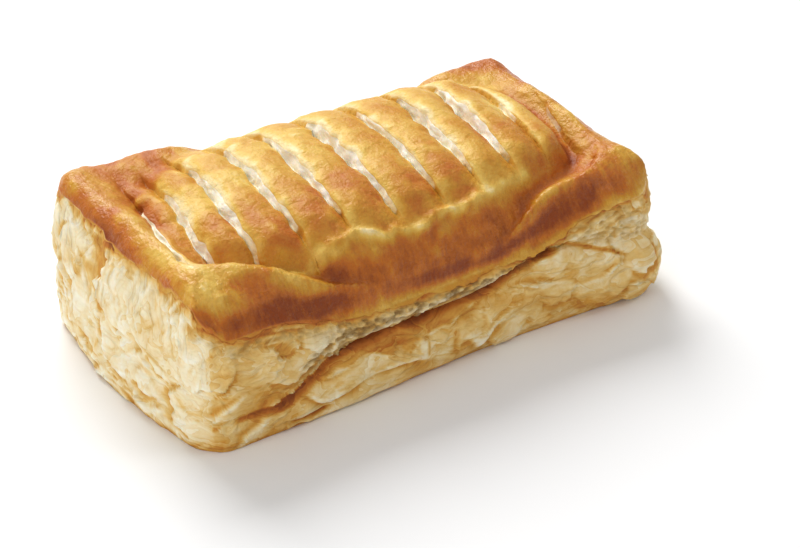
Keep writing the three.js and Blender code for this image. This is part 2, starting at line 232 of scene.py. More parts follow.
# Dark band along the front of the rim, browning with painted shade where it lies in the crease under the
# right fold:
# places along the roll, with its strength there, its height above the rim's edge and half its width
BAND_STRENGTH = ((-70.0, -45.0, -30.0, -24.0, -8.0, 4.0, 22.0, 43.0, 54.0, 66.0),
                 (1.1, 0.95, 1.0, 0.3, 0.5, 1.1, 1.4, 1.0, 1.0, 0.2))
BAND_CENTRE = ((-70.0, -57.0, -45.0, -33.0, -8.0, 22.0, 32.0, 43.0, 70.0),
               (4.0, 2.6, 2.3, 3.6, 3.4, 3.0, 4.4, 6.2, 5.0))
BAND_REACH = ((-70.0, -45.0, -33.0, 4.0, 22.0, 32.0, 43.0, 70.0), (4.4, 3.8, 2.6, 1.8, 1.8, 2.2, 4.8, 3.8))
BAND_WANDER = ((0.8, 7.0, 16),)
BAND_BROWNING_AND_SHADE = 0.4
BAND_SHARE = 0.9
BAND_LUMPS = ((0.3, 10.0, 33),)

# Browning higher on the front face: places along the roll with its strength there, and its height and reach
FACE_BROWNING = ((-40.0, -29.0, -22.0, -14.0, 14.0, 26.0, 36.0), (0.0, 0.3, 0.13, 0.18, 0.22, 0.06, 0.0))
FACE_HEIGHT = (10.0, 7.2, 4.0)

# Pale fringe along the lower edge of the front face
FRINGE_PALE = 0.1
FRINGE_REACH = 1.6
FRINGE_START = (-36.0, -24.0)

# Dough in the slits: toasted where a slit is shut, and darker at its near end with painted shade
SLIT_TOAST = 0.02
SLIT_TOAST_LUMPS = ((0.06, 3.0, 19),)
SLIT_SHUT_TOAST = (0.12, 0.6, 0.2)
SLIT_NEAR_SHADE = (0.25, 15.0, 3.0)

# Overlapping sheets on the sides: spacing, how far they stand proud and how far they wander. The sizes of
# their own noises are in spacings, and a bend also has a height
WIDE_SHEETS = (8.0, 1.4, 8.0)
NARROW_SHEETS = (4.0, 0.6, 4.5)
SHEET_LEAN = (0.5, -0.4)
SHEET_CREST = 0.85
# Painted highlight on a sheet's lip and painted shade in its nook
SHEET_LIP_HIGHLIGHT = (0.82, 0.12)
SHEET_NOOK_SHADE = (0.07, 0.18)
SHEET_STRENGTH = (-0.7, 0.3)
SHEET_STRENGTH_SIZE = 1.4
SHEET_FACING_SIZE = 2.6
SHEET_BENDS = ((1.0, 2.2), (0.4, 0.8))
SHEET_STANDING = (0.3, 0.6)
SHEET_ON_LEAF = 0.4
NARROW_SHARE = (1.0, 0.35)
UPRIGHT_LUMPS = ((1.0, 24.0, 29),)
UPRIGHT_HEIGHT = 20.0
UPRIGHT_EDGE = (-0.5, 0.5)
FREE_BELOW_RIM = (0.0, 4.0)
FREE_ABOVE_BASE = (-1.0, 3.0)
RAGGED = ((1.0, 6.0, 10), (0.6, 2.4, 22))
RIPPLES = ((0.2, 5.0, 11), (0.1, 1.8, 12))

# Which way a side faces: how soon it counts as an end, and how sharply the front ends at its corners
END_FACING = (0.35, 0.9)
FRONT_SHARPNESS = 30

# Open crumb between seam and rim, along the rim and at the left of the front: place, reach and squareness
CRUMB_MIDDLE = (-1.0, 36.0, 8.0)
CRUMB_RIGHT = (55.0, 16.0, 8.0)
CRUMB_OVER_SEAM = (0.2, 1.2)
CRUMB_BELOW_RIM = (0.6, 1.8)
CRUMB_RIM = (3.5, 2.0)
CRUMB_RIM_SHARE = 0.5
CRUMB_LEFT = (-38.0, 7.0, 4.0)
CRUMB_LEFT_HEIGHT = (4.5, 3.5, 4.0)
CRUMB_LEFT_SHARE = 0.9
CRUMB_RAGGED = 0.4
LARGE_HOLES = ((3.4, 3.4, 2.2), 13)
SMALL_HOLES = ((2.0, 2.0, 1.4), 23)
LARGE_HOLES_FILLED = 0.15
HOLE_DEPTH = 1.5
HOLE_LEVEL = 0.75
HOLE_SHADE = (0.75, 0.3)
HOLE_SHADE_FRONT = (1.0, 0.4)
HOLE_SHADE_ELSEWHERE = 0.35
HOLE_SHADE_TURN = (30.0, 44.0)

# Lower edge of the glaze, which wanders less at the front, and the toasted fade below it
GLAZE_EDGE = 0.8
GLAZE_BLUR = (0.6, -0.5)
GLAZE_WANDER = ((1.7, 1.0), 5.0, 14)
GLAZE_FRAY = ((1.0, 0.6), 1.9, 15)
GLAZE_FADE = (1.8, 1.3)
GLAZE_TOAST = 0.42
GLAZE_BAKE = 0.5
GLAZE_BAKE_FRONT = (0.2, -0.04)
GLAZE_BAKE_LUMPS = ((0.15, 6.0, 18),)

# Toasted strip below the seam: least and most width, where it is widest, where it starts and stops
SEAM_STRIP = (2.6, 5.0)
SEAM_STRIP_PLACE = (-14.0, 24.0)
SEAM_STRIP_RAGGED = 0.35
SEAM_STRIP_BLUR = (1.0, 0.6)
SEAM_STRIP_TOP = (0.7, -0.3)
SEAM_STRIP_START = (-70.0, -62.0)
SEAM_STRIP_STOP = (44.0, 34.0)
# Darker towards its top: painted shade under the upper sheet's edge
SEAM_STRIP_DARKER = (0.78, 1.12)
SEAM_STRIP_DARKEST = (-3.0, -0.5)
SEAM_STRIP_SHARE = 0.98
SEAM_STRIP_LUMPS = ((0.15, (7.0, 7.0, 3.0), 30),)

# Other lines along the front: crease and golden band at the right, slot at the left
CREASE = ((34.0, 38.0, 60.0), (27.0, 26.5, 17.0))
CREASE_REACH = 0.9
CREASE_STOP = (64.0, 58.0)
CREASE_DEPTH = 0.6
GOLDEN_BAND = ((8.0, 20.0, 37.0, 58.0), (19.0, 16.5, 10.0, 3.5))
GOLDEN_REACH = (3.4, 4.0)
GOLDEN_START = (6.0, 12.0)
GOLDEN_RAGGED = 1.5
SLOT_PLACE = (-42.0, 7.0, 6.0)
SLOT_HEIGHT = 3.2
SLOT_REACH = (0.9, 4.0)
SLOT_WANDER = ((0.8, 5.0, 24),)
SLOT_DEPTH = 1.5
LINE_TOAST = {"seam": 0.9, "crease": 0.75, "golden": 0.55, "slot": 0.9}

# Toasting of the sides, with painted shade and highlights in their relief
TOAST_PLAIN = 0.22
TOAST_LEAF_EDGE = 0.2
# Painted shade in the hollows under leaves, and the most of it
PAINTED_HOLLOW_SHADE = 0.42
PAINTED_HOLLOW_SHADE_MOST = 0.9
# Painted shade in the nooks of sheets and painted highlight on their lips
PAINTED_NOOK_SHADE = 0.4
PAINTED_LIP_HIGHLIGHT = 0.14
TOAST_RAGGED = 0.1
TOAST_BASE = 0.25
TOAST_BASE_REACH = 1.2
TOAST_FRONT = 0.14
TOAST_FRONT_LEFT = (0.06, 38.0, 50.0)
TOAST_MOST = 0.66
# Painted shadow in the gap under a leaf's free edge, from the other sides to the front
PAINTED_GAP_SHADOW = (0.62, 0.85)
TOAST_CRUMB = 0.05

# Torn leaves of dough shaped into the sides
LEAF_COUNT = 170
LEAF_LONG = (4.0, 14.0)
LEAF_TALL = (2.2, 6.5)
LEAF_PROUD = (0.4, 1.9)
LEAF_TURN = 1.0
LEAF_UPTURNED = 0.3
LEAF_HIGHEST = 42.0
# Painted shadow in the thin gap under a leaf's free edge: how far it reaches
LEAF_GAP_SHADOW = 0.9
LEAF_THINNING = 1.3
LEAF_ROUNDING = 0.8
LEAF_BROWN_EDGE = 0.3
LEAF_WAVES = ((0.13, 7.0), (0.07, 17.0))
# Painted shade below a leaf's free edge: its reach and width, and for large leaves its reach and how much
# darker
LEAF_SHADE = 0.4
LEAF_SHADE_WIDTH = 0.95
LARGE_LEAF_SHADE = 0.8
LARGE_LEAF_SHADE_DARKER = 1.4

# Large leaves at the left end and the front corners: distance round the edge, height, half length of
# the free edge, half the way back from it, how far it stands proud, its turn and how square it is
LARGE_LEAVES = np.array([
    (419.0, 31.0, 11.5, 14.0, 2.4, -90.0, 6.0),
    (428.0, 27.0, 7.0, 5.0, 1.7, -75.0, 2.0),
    (434.0, 23.0, 8.0, 5.0, 1.8, -60.0, 2.0),
    (441.0, 27.0, 7.0, 5.0, 1.6, -50.0, 2.0),
    (447.0, 31.0, 8.0, 4.0, 1.6, -25.0, 2.0),
    (452.0, 25.0, 10.0, 5.0, 2.0, 12.0, 4.0),
    (446.0, 11.0, 8.0, 7.0, 1.5, -80.0, 4.0),
    (468.0, 24.0, 6.0, 7.0, 1.9, 90.0, 3.0),
    (479.0, 20.0, 9.0, 4.0, 1.8, 10.0, 2.0),
    (486.0, 26.0, 6.0, 3.5, 1.6, -20.0, 2.0),
    (385.0, 28.0, 9.0, 4.0, 1.7, -80.0, 3.0),
    (392.0, 15.0, 9.0, 5.0, 1.6, -60.0, 2.0),
    (412.0, 13.0, 10.0, 4.5, 1.7, -35.0, 2.0),
    (425.0, 12.0, 9.0, 4.0, 1.6, -20.0, 2.0),
    (110.0, 12.0, 6.0, 4.0, 1.6, 14.0, 2.0),
    (123.0, 9.0, 9.0, 5.0, 1.7, -4.0, 2.0),
    (136.0, 16.0, 6.0, 5.0, 1.7, 20.0, 2.0),
])

# Painted shade in hollows of the relief and painted highlight on its ridges: how far they spread over the
# skin, how deep one is that takes full shade, how much more shade they take where the dough is pale, how much
# paler ridges get, and how much both change the crust
HOLLOW_SPREAD = 12
HOLLOW_DEPTH = 0.9
HOLLOW_PALE = (TOAST_MOST, 0.4)
HOLLOW_PAINTED_SHADE = 0.2
RIDGE_PAINTED_HIGHLIGHT = 0.1
RELIEF_PAINTED_SHADING = 0.12

# Fineness of the skin
SLIT_COLUMNS = 9
STRIP_COLUMNS = 15
MARGIN_COLUMNS = 13
ROWS = 138
ROW_CROWDING = 0.2
LAYERS = 68

# Camera
CAMERA_TURN = 34.0
CAMERA_DROP = 33.0
CAMERA_DISTANCE = 847.2
CAMERA_TARGET = (17.6, 6.2, 0.0)
CAMERA_LENS = 135.0
CAMERA_SENSOR = 36.0


# Numbers

def lerp(low, high, share):
    return low + (high - low) * share


def ramp(value, low, high):
    """Smooth step from 0 at low to 1 at high."""
    share = np.clip((value - low) / (high - low), 0.0, 1.0)
    return share * share * (3.0 - 2.0 * share)


def bell(value, centre, reach, power=2.0):
    return np.exp(-np.abs((value - centre) / reach) ** power)


def rise(value, strength, low, high):
    """A strength that sets in between low and high."""
    return strength * ramp(value, low, high)


def soft_max(a, b, blend):
    return (a + b + np.hypot(a - b, blend)) / 2.0


def chance(index, stream):
    """A repeatable number from 0 to 1 for a whole number and a numbered stream."""
    wave = np.sin(np.asarray(index) * 12.9898 + stream * 78.233) * 43758.5453
    return wave - np.floor(wave)


def stray(index, stream):
    return 2.0 * chance(index, stream) - 1.0


def lattice(cells, seed):
    """A repeatable number from 0 to 1 for each whole-number corner of a lattice."""
    mixed = cells @ np.array([374761393, 668265263, 1440662683], dtype=np.int64) + seed * 974634777
    mixed = mixed & 0xFFFFFFFF
    mixed = ((mixed ^ (mixed >> 13)) * 1274126177) & 0xFFFFFFFF
    return ((mixed ^ (mixed >> 16)) & 0xFFFF) / 65535.0


def lumps(points, size, seed):
    """Smooth noise from -1 to 1 with lumps about size across."""
    scaled = points / np.asarray(size, dtype=float)
    cells = np.floor(scaled).astype(np.int64)
    inside = scaled - cells
    inside = inside * inside * (3.0 - 2.0 * inside)
    total = np.zeros(len(points))
    for corner in itertools.product((0, 1), repeat=3):
        weight = np.prod(np.where(corner, inside, 1.0 - inside), axis=1)
        total += weight * lattice(cells + np.array(corner), seed)
    return 2.0 * total - 1.0


def heaped(points, noises):
    """Sum of noises, each given as its height, the size of its lumps and its seed."""
    return sum(height * lumps(points, size, seed) for height, size, seed in noises)


def pits(points, size, seed):
    """Distance to the nearest of scattered pores, from 0 in a pore to 1 between pores."""
    scaled = points / np.asarray(size, dtype=float)
    cells = np.floor(scaled).astype(np.int64)
    nearest = np.full(len(points), 9.0)
    for step in itertools.product((-1, 0, 1), repeat=3):
        corner = cells + np.array(step)
        offset = np.stack([lattice(corner, seed + axis) for axis in range(3)], axis=1)
        nearest = np.minimum(nearest, np.linalg.norm(corner + offset - scaled, axis=1))
    return np.clip(nearest, 0.0, 1.0)


# Places where the rim is browner, or paler with a painted highlight: the strength, and how it sets in along
# the roll and across it
RIM_BROWNING_AND_HIGHLIGHTS = (
    # Paler at the far-left corner and along the left rim's crest: painted highlight
    (-0.24, ramp, LEFT_RIM, ramp, (16.0, 32.0)),
    (-0.14, ramp, LEFT_RIM, bell, (-28.0, 5.0)),
    (0.14, bell, (-44.0, 9.0), ramp, (26.0, 31.0)),
    (0.2, ramp, (50.0, 60.0), ramp, (-28.0, -10.0)),
    (0.45, bell, (60.0, 6.0), bell, (-25.0, 9.0)),
)


# Form of the roll

def length_share(x):
    return (x / HALF_LENGTH + 1.0) / 2.0


def width_share(y):
    return (y / HALF_WIDTH + 1.0) / 2.0


def rim_radius(y):
    return lerp(*CORNER_RADIUS_RIM, width_share(y))


def plan(x, y, radius):
    """Plan position and outward direction of a nominal point, with the four corners rounded."""
    over_x = np.maximum(0.0, np.abs(x) - (HALF_LENGTH - radius))
    over_y = np.maximum(0.0, np.abs(y) - (HALF_WIDTH - radius))
    round_x = over_x * np.sqrt(1.0 - over_y ** 2 / (2.0 * radius ** 2))
    round_y = over_y * np.sqrt(1.0 - over_x ** 2 / (2.0 * radius ** 2))
    waist = WAIST * bell(x, *WAIST_PLACE) * np.abs(y / HALF_WIDTH) ** 3
    px = x + np.sign(x) * (round_x - over_x)
    py = y + np.sign(y) * (round_y - over_y - waist)
    py = py - BACK_TAPER * length_share(x) * width_share(y)
    out = np.stack([np.sign(x) * round_x, np.sign(y) * round_y], axis=-1)
    length = np.maximum(np.linalg.norm(out, axis=-1, keepdims=True), 1e-9)
    return px, py, out / length


def side_dip(x, y, lengthening=1.0):
    """How far the rim has sunk along a long side, from 0 at the ends to 1 midway."""
    centre = lerp(*DIP_CENTRE, width_share(y))
    reach = lerp(*DIP_REACH, width_share(y))
    return bell(x, centre, reach * lengthening, DIP_POWER)


def side_crest(x, y):
    ear = lerp(lerp(*EAR_CREST_FRONT, length_share(x)), EAR_CREST_BACK, width_share(y))
    return lerp(ear, SIDE_CREST, side_dip(x, y, EAR_LENGTHENING))


def roll_down(share):
    return np.maximum(0.0, 1.0 - share) ** ROLL_POWER


def fall_inside(distance):
    inside = np.maximum(0.0, distance)
    return RIM_FALL * inside * inside / (inside + RIM_FALL_EASE)


def rim_height(x, y):
    to_end = HALF_LENGTH - np.abs(x)
    to_side = HALF_WIDTH - np.abs(y)
    level = lerp(*RIM_LEVEL, length_share(x))
    crest = side_crest(x, y)
    end = level - fall_inside(to_end - END_CREST)
    side = level - SIDE_DIP * side_dip(x, y) - fall_inside(to_side - crest)
    end_roll = END_ROLL * roll_down(to_end / END_CREST)
    side_roll = SIDE_ROLL * crest * roll_down(to_side / crest)
    corner = rim_radius(y)
    sag = lerp(-lerp(*CORNER_PERK, length_share(x)), CORNER_DROOP, width_share(y))
    droop = sag * roll_down(to_end / corner) * roll_down(to_side / corner)
    return soft_max(end, side, FOLD_BLEND) - np.maximum(end_roll, side_roll) - droop


def crown_height(x, y):
    along = np.abs(x / CROWN_HALF_LENGTH) ** CROWN_LENGTH_POWER
    across = np.abs(y / CROWN_HALF_WIDTH) ** CROWN_WIDTH_POWER
    return lerp(CROWN_FOOT, CROWN_HEIGHT, np.maximum(0.0, 1.0 - along - across) ** CROWN_ROUND)


def top_height(x, y):
    return soft_max(rim_height(x, y), crown_height(x, y), FOLD_BLEND)


def seam_height(x, y):
    def along(place):
        climb = lerp(*SEAM_HEIGHT, ramp(place, *SEAM_RISE))
        return climb + SEAM_LIFT * bell(place, *SEAM_LIFT_PLACE)

    seam = lerp(along(x), along(-x), width_share(y))
    return np.minimum(seam, SEAM_MOST * top_height(x, y))


def side_surface(x, y, z):
    """Point on the smooth side at a height, with the outward direction."""
    rim = top_height(x, y)
    seam = seam_height(x, y)
    upper = z > seam
    share = np.clip(np.where(upper, (z - seam) / (rim - seam), z / seam), 0.0, 1.0)
    height = np.clip(z / rim, 0.0, 1.0)
    radius = lerp(CORNER_RADIUS_BASE, rim_radius(y), height ** 2)
    px, py, out = plan(x, y, radius)
    sideness = np.abs(out[..., 1])
    parting = sideness * side_dip(x, y)
    to_seam = np.where(upper, 1.0 - share, share)
    swell = np.sin(np.pi * share) ** BULGE_POWER
    spread = lerp(*FLARE, width_share(y)) * ramp(x / HALF_LENGTH, *FLARE_SHARE)
    upper_bulge = lerp(*UPPER_BULGE, parting) * swell
    lower_bulge = (LOWER_BULGE * parting + spread) * swell - UNDERCUT * (1.0 - share) ** 2
    end_bulge = np.where(x < 0.0, *END_BULGE)
    end_swell = (1.0 - sideness) * (1.0 - (y / HALF_WIDTH) ** 2) * (1.0 - height) ** BULGE_POWER
    offset = np.where(upper, upper_bulge, lower_bulge) + end_bulge * end_swell
    offset = offset - lerp(*SEAM_DEPTH, parting) * to_seam ** SEAM_SHARPNESS
    point = np.stack([px + out[..., 0] * offset, py + out[..., 1] * offset, z], axis=-1)
    return point, out


def rounded(line):
    """A line of points with its corners cut off again and again."""
    for _ in range(FOLD_ROUNDS):
        cut = np.stack([lerp(line[:-1], line[1:], 0.25), lerp(line[:-1], line[1:], 0.75)], axis=1)
        line = np.concatenate([line[:1], cut.reshape(-1, 3), line[-1:]])
    return line


def from_crest(points, line):
    """Distance from a fold's crest line, below 0 on its right hand and downhill, and how far it rises."""
    best = np.full(len(points), 1e9)
    signed = np.zeros(len(points))
    for start, stop in zip(line[:-1], line[1:]):
        way = stop - start
        share = np.clip((points - start) @ way / (way @ way), 0.0, 1.0)
        apart = points - (start + share[:, None] * way)
        distance = np.linalg.norm(apart, axis=1)
        inward = np.array([-way[1], way[0], FOLD_UPHILL * math.hypot(way[0], way[1])])
        hand = np.sign(apart @ inward)
        closer = distance < best
        best[closer] = distance[closer]
        signed[closer] = (hand * distance)[closer]
    to_tip = np.minimum(np.linalg.norm(points - line[0], axis=1), np.linalg.norm(points - line[-1], axis=1))
    return signed, ramp(to_tip, *FOLD_TIP)


# Slits, numbered from the middle one
slit_number = np.arange(-SLITS_EACH_WAY, SLITS_EACH_WAY + 1)
slit_outward = (slit_number / SLITS_EACH_WAY) ** 2
slit_step = np.where(
    slit_number < 0, SLIT_PITCH_LEFT * (1.0 - SLIT_CROWDING * slit_number ** 2), SLIT_PITCH_RIGHT
)
slit_x = SLIT_CENTRE + slit_step * slit_number + SLIT_SHIFT * stray(slit_number, 1)
slit_lean = SLIT_LEAN + SLIT_FAN * slit_outward
slit_near = SLIT_NEAR + SLIT_SHORTER * slit_outward + SLIT_STRAY * stray(slit_number, 2)
slit_far = SLIT_FAR - SLIT_SHORTER * slit_outward + SLIT_STRAY * stray(slit_number, 3)


def openness(slit, y):
    """How wide a slit gapes at a place across the roll, from 0 at its ends."""
    along = np.clip((y - slit_near[slit]) / (slit_far[slit] - slit_near[slit]), 0.0, 1.0)
    widest = SLIT_WIDEST[slit]
    share = np.where(along < widest, along / widest, (1.0 - along) / (1.0 - widest))
    return SLIT_GAPE[slit] * ramp(share, 0.0, 1.0) ** np.where(along < widest, *SLIT_TAPER)


def grid_columns():
    """Columns of the skin: nominal x, place in a slit, and the slits on both sides of a strip."""
    columns = []

    def evenly(start, stop, count, left, right):
        for k in range(1, count + 1):
            share = k / (count + 1)
            columns.append((lerp(start, stop, share), 0.0, left, right, share))

    last = len(slit_x) - 1
    columns.append((-HALF_LENGTH, 0.0, -1, 0, 0.0))
    evenly(-HALF_LENGTH, slit_x[0] - SLIT_HALF_WIDTH, MARGIN_COLUMNS, -1, 0)
    for slit in range(last + 1):
        for place in np.linspace(-1.0, 1.0, SLIT_COLUMNS):
            columns.append((slit_x[slit], place, slit, slit, 0.0))
        if slit < last:
            start = slit_x[slit] + SLIT_HALF_WIDTH
            stop = slit_x[slit + 1] - SLIT_HALF_WIDTH
            evenly(start, stop, STRIP_COLUMNS, slit, slit + 1)
    evenly(slit_x[last] + SLIT_HALF_WIDTH, HALF_LENGTH, MARGIN_COLUMNS, last, -1)
    columns.append((HALF_LENGTH, 0.0, last, -1, 1.0))
    x, place, left, right, share = (np.array(values) for values in zip(*columns))
    return {"x": x, "place": place, "left": left.astype(int), "right": right.astype(int), "share": share}


# Distance round the edge from the front left corner
EDGE_LENGTH = 4.0 * (HALF_LENGTH + HALF_WIDTH)


def edge_distance(x, y):
    front = x + HALF_LENGTH
    right = 2.0 * HALF_LENGTH + y + HALF_WIDTH
    back = 3.0 * HALF_LENGTH + 2.0 * HALF_WIDTH - x
    left = 4.0 * HALF_LENGTH + 3.0 * HALF_WIDTH - y
    return np.select([y <= -HALF_WIDTH, x >= HALF_LENGTH, y >= HALF_WIDTH], [front, right, back], left)


# Sheets and leaves of dough shaped into the sides

def sheets(points, across, sizes, seed):
    """Overlapping sheets, from a distance across them: how far they stand proud, painted highlight on their
    lips, painted shade in their nooks.
    """
    spacing, proud, wander = sizes
    bend = heaped(points, [(h, size * spacing, seed + i) for i, (h, size) in enumerate(SHEET_BENDS)])
    step = np.mod((across + wander * bend) / spacing, 1.0)
    facing = lumps(points, SHEET_FACING_SIZE * spacing, seed + 2) > 0.0
    step = np.where(facing, step, 1.0 - step)
    strength = ramp(lumps(points, SHEET_STRENGTH_SIZE * spacing, seed + 3), *SHEET_STRENGTH)
    slope = np.minimum(step / SHEET_CREST, (1.0 - step) / (1.0 - SHEET_CREST))
    under, behind = SHEET_NOOK_SHADE
    return {
        "proud": proud * strength * slope,
        "lip_highlight": strength * bell(step, *SHEET_LIP_HIGHLIGHT),
        "nook_shade": strength * np.maximum(bell(step, 1.0, under), np.exp(-step / behind)),
    }


def side_sheets(points, upright, lean, sizes, seed):
    """Sheets that lie along the sides and stand, leaning, on the upright parts of the ends."""
    lying = sheets(points, points[:, 2], sizes, seed)
    standing = sheets(points, points[:, 1] + lean * points[:, 2], sizes, seed + 4)
    share = ramp(upright, *SHEET_STANDING)
    return {name: lerp(lying[name], standing[name], share) for name in lying}


def all_leaves():
    """The large leaves, then the scattered ones, with their turns in radians."""
    placed = LARGE_LEAVES.copy()
    placed[:, 5] = np.radians(placed[:, 5])
    numbers = np.arange(LEAF_COUNT)
    scattered = np.stack([
        EDGE_LENGTH * (numbers + chance(numbers, 5)) / LEAF_COUNT,
        LEAF_HIGHEST * chance(numbers, 6),
        lerp(*LEAF_LONG, chance(numbers, 7) ** 2),
        lerp(*LEAF_TALL, chance(numbers, 8)),
        lerp(*LEAF_PROUD, chance(numbers, 9) ** 2),
        LEAF_TURN * stray(numbers, 10) + np.where(chance(numbers, 11) < LEAF_UPTURNED, np.pi, 0.0),
        np.full(LEAF_COUNT, 2.0),
    ], axis=1)
    return np.concatenate([placed, scattered])


def leaf_layers(around, up):
    """Leaves at points round the sides: height, tone, toasted edge, painted shade and painted shadow below
    it, large or not.
    """
    relief, edge, hollow_shading, gap = np.zeros((4, len(around)))
    tone = np.full(len(around), 0.5)
    large = np.zeros(len(around), dtype=bool)
    for i, (centre, height, long, tall, proud, turn, square) in enumerate(all_leaves()):
        is_large = i < len(LARGE_LEAVES)
        ahead = around - centre
        ahead = ahead - EDGE_LENGTH * np.round(ahead / EDGE_LENGTH)
        above = up - height
        reach = math.hypot(long, 2.0 * tall)
        near = np.flatnonzero((np.abs(ahead) < reach) & (np.abs(above) < reach))
        ahead, above = ahead[near], above[near]
        along = (ahead * math.cos(turn) + above * math.sin(turn)) / long
        back = (above * math.cos(turn) - ahead * math.sin(turn)) / tall
        phases = (40.0 * chance(i, 12), 9.0 * i)
        ragged = sum(h * np.sin(rate * along + phase) for (h, rate), phase in zip(LEAF_WAVES, phases))
        depth = back + (1.0 - np.abs(along) ** square) * (1.0 + ragged)
        taper = 1.0 - along ** 4
        slant = np.clip(1.0 - depth / 2.0, 0.0, 1.0) ** LEAF_THINNING
        thick = proud * slant * taper * ramp(depth, 0.0, LEAF_ROUNDING / tall)
        on_top = (np.abs(along) < 1.0) & (depth > 0.0) & (depth < 2.0) & (thick > relief[near])
        if not is_large:
            on_top = on_top & ~large[near]
        chosen = near[on_top]
        large[chosen] = is_large
        relief[chosen] = thick[on_top]
        tone[chosen] = lerp(0.5, chance(i, 13), (slant * taper)[on_top])
        edge[chosen] = np.clip(1.0 - depth[on_top] / LEAF_BROWN_EDGE, 0.0, 1.0) * chance(i, 14)
        hollow_shading[chosen] = 0.0
        gap[chosen] = 0.0

        # Painted shade in the hollow below the free edge, and painted shadow in the thin gap right under it
        shade_reach = LARGE_LEAF_SHADE if is_large else LEAF_SHADE
        below = (np.abs(along) < LEAF_SHADE_WIDTH) & (depth <= 0.0) & (depth > -shade_reach)
        below = below & (relief[near] < proud) & ~large[near]
        under = near[below]
        stands = proud / LEAF_PROUD[1]
        shade = (1.0 + depth[below] / shade_reach) * stands
        if is_large:
            large[under] = True
            shade = LARGE_LEAF_SHADE_DARKER * shade
        hollow_shading[under] = np.maximum(hollow_shading[under], shade)
        gap_shadow = np.exp(depth[below] * tall / LEAF_GAP_SHADOW) * taper[below] * stands ** 2
        gap[under] = np.maximum(gap[under], gap_shadow)
    return relief, tone, edge, hollow_shading, gap, large


# Meshes, moved so that the middle of the frame's box lies over its origin
IN_FRAME = np.array([-FRAME_MIDDLE[0], -FRAME_MIDDLE[1], 0.0])
# Fields for the finish; the browning and toasting ones also carry painted shade and highlights
FIELDS = ("crust", "bake", "gloss", "toast", "tone", "pore", "end")


def divided_block(segments):
    """A block from -1 to 1 without its underside, divided into that many segments along X, Y and Z."""
    bm = bmesh.new()
    bmesh.ops.create_cube(bm, size=2.0)
    underside = [f for f in bm.faces if f.calc_center_median().z < -0.9]
    bmesh.ops.delete(bm, geom=underside, context="FACES_ONLY")
    for axis, count in enumerate(segments):
        along = [e for e in bm.edges if abs(e.verts[0].co[axis] - e.verts[1].co[axis]) > 1.0]
        bmesh.ops.subdivide_edges(bm, edges=along, cuts=count - 1, use_grid_fill=True)
    return bm


def set_points(mesh, points):
    mesh.vertices.foreach_set("co", (points * MM).astype(np.float32).ravel())
    mesh.update()


def get_points(mesh):
    flat = np.empty(len(mesh.vertices) * 3, dtype=np.float32)
    mesh.vertices.foreach_get("co", flat)
    return flat.reshape(-1, 3).astype(float)


def set_field(mesh, name, values):
    """Stores one number for each vertex, for the finish to read."""
    field = mesh.attributes.new(name, "FLOAT", "POINT")
    field.data.foreach_set("value", np.asarray(values, dtype=np.float32))


def new_mesh(name, bm):
    mesh = bpy.data.meshes.new(name)
    bm.to_mesh(mesh)
    bm.free()
    return mesh


def new_object(name, data):
    thing = bpy.data.objects.new(name, data)
    bpy.context.collection.objects.link(thing)
    return thing


def aim(thing, forward):
    thing.rotation_euler = forward.to_track_quat("-Z", "Y").to_euler()


def skin_mesh(columns):
    """The block's mesh, with the underside closed by one flat face."""
    bm = divided_block((len(columns["x"]) - 1, ROWS, LAYERS))
    open_edges = [e for e in bm.edges if e.is_boundary]
    bmesh.ops.edgeloop_fill(bm, edges=open_edges)
    bmesh.ops.recalc_face_normals(bm, faces=bm.faces)
    for face in bm.faces:
        face.smooth = len(face.verts) == 4
    return new_mesh("pastry_skin", bm)


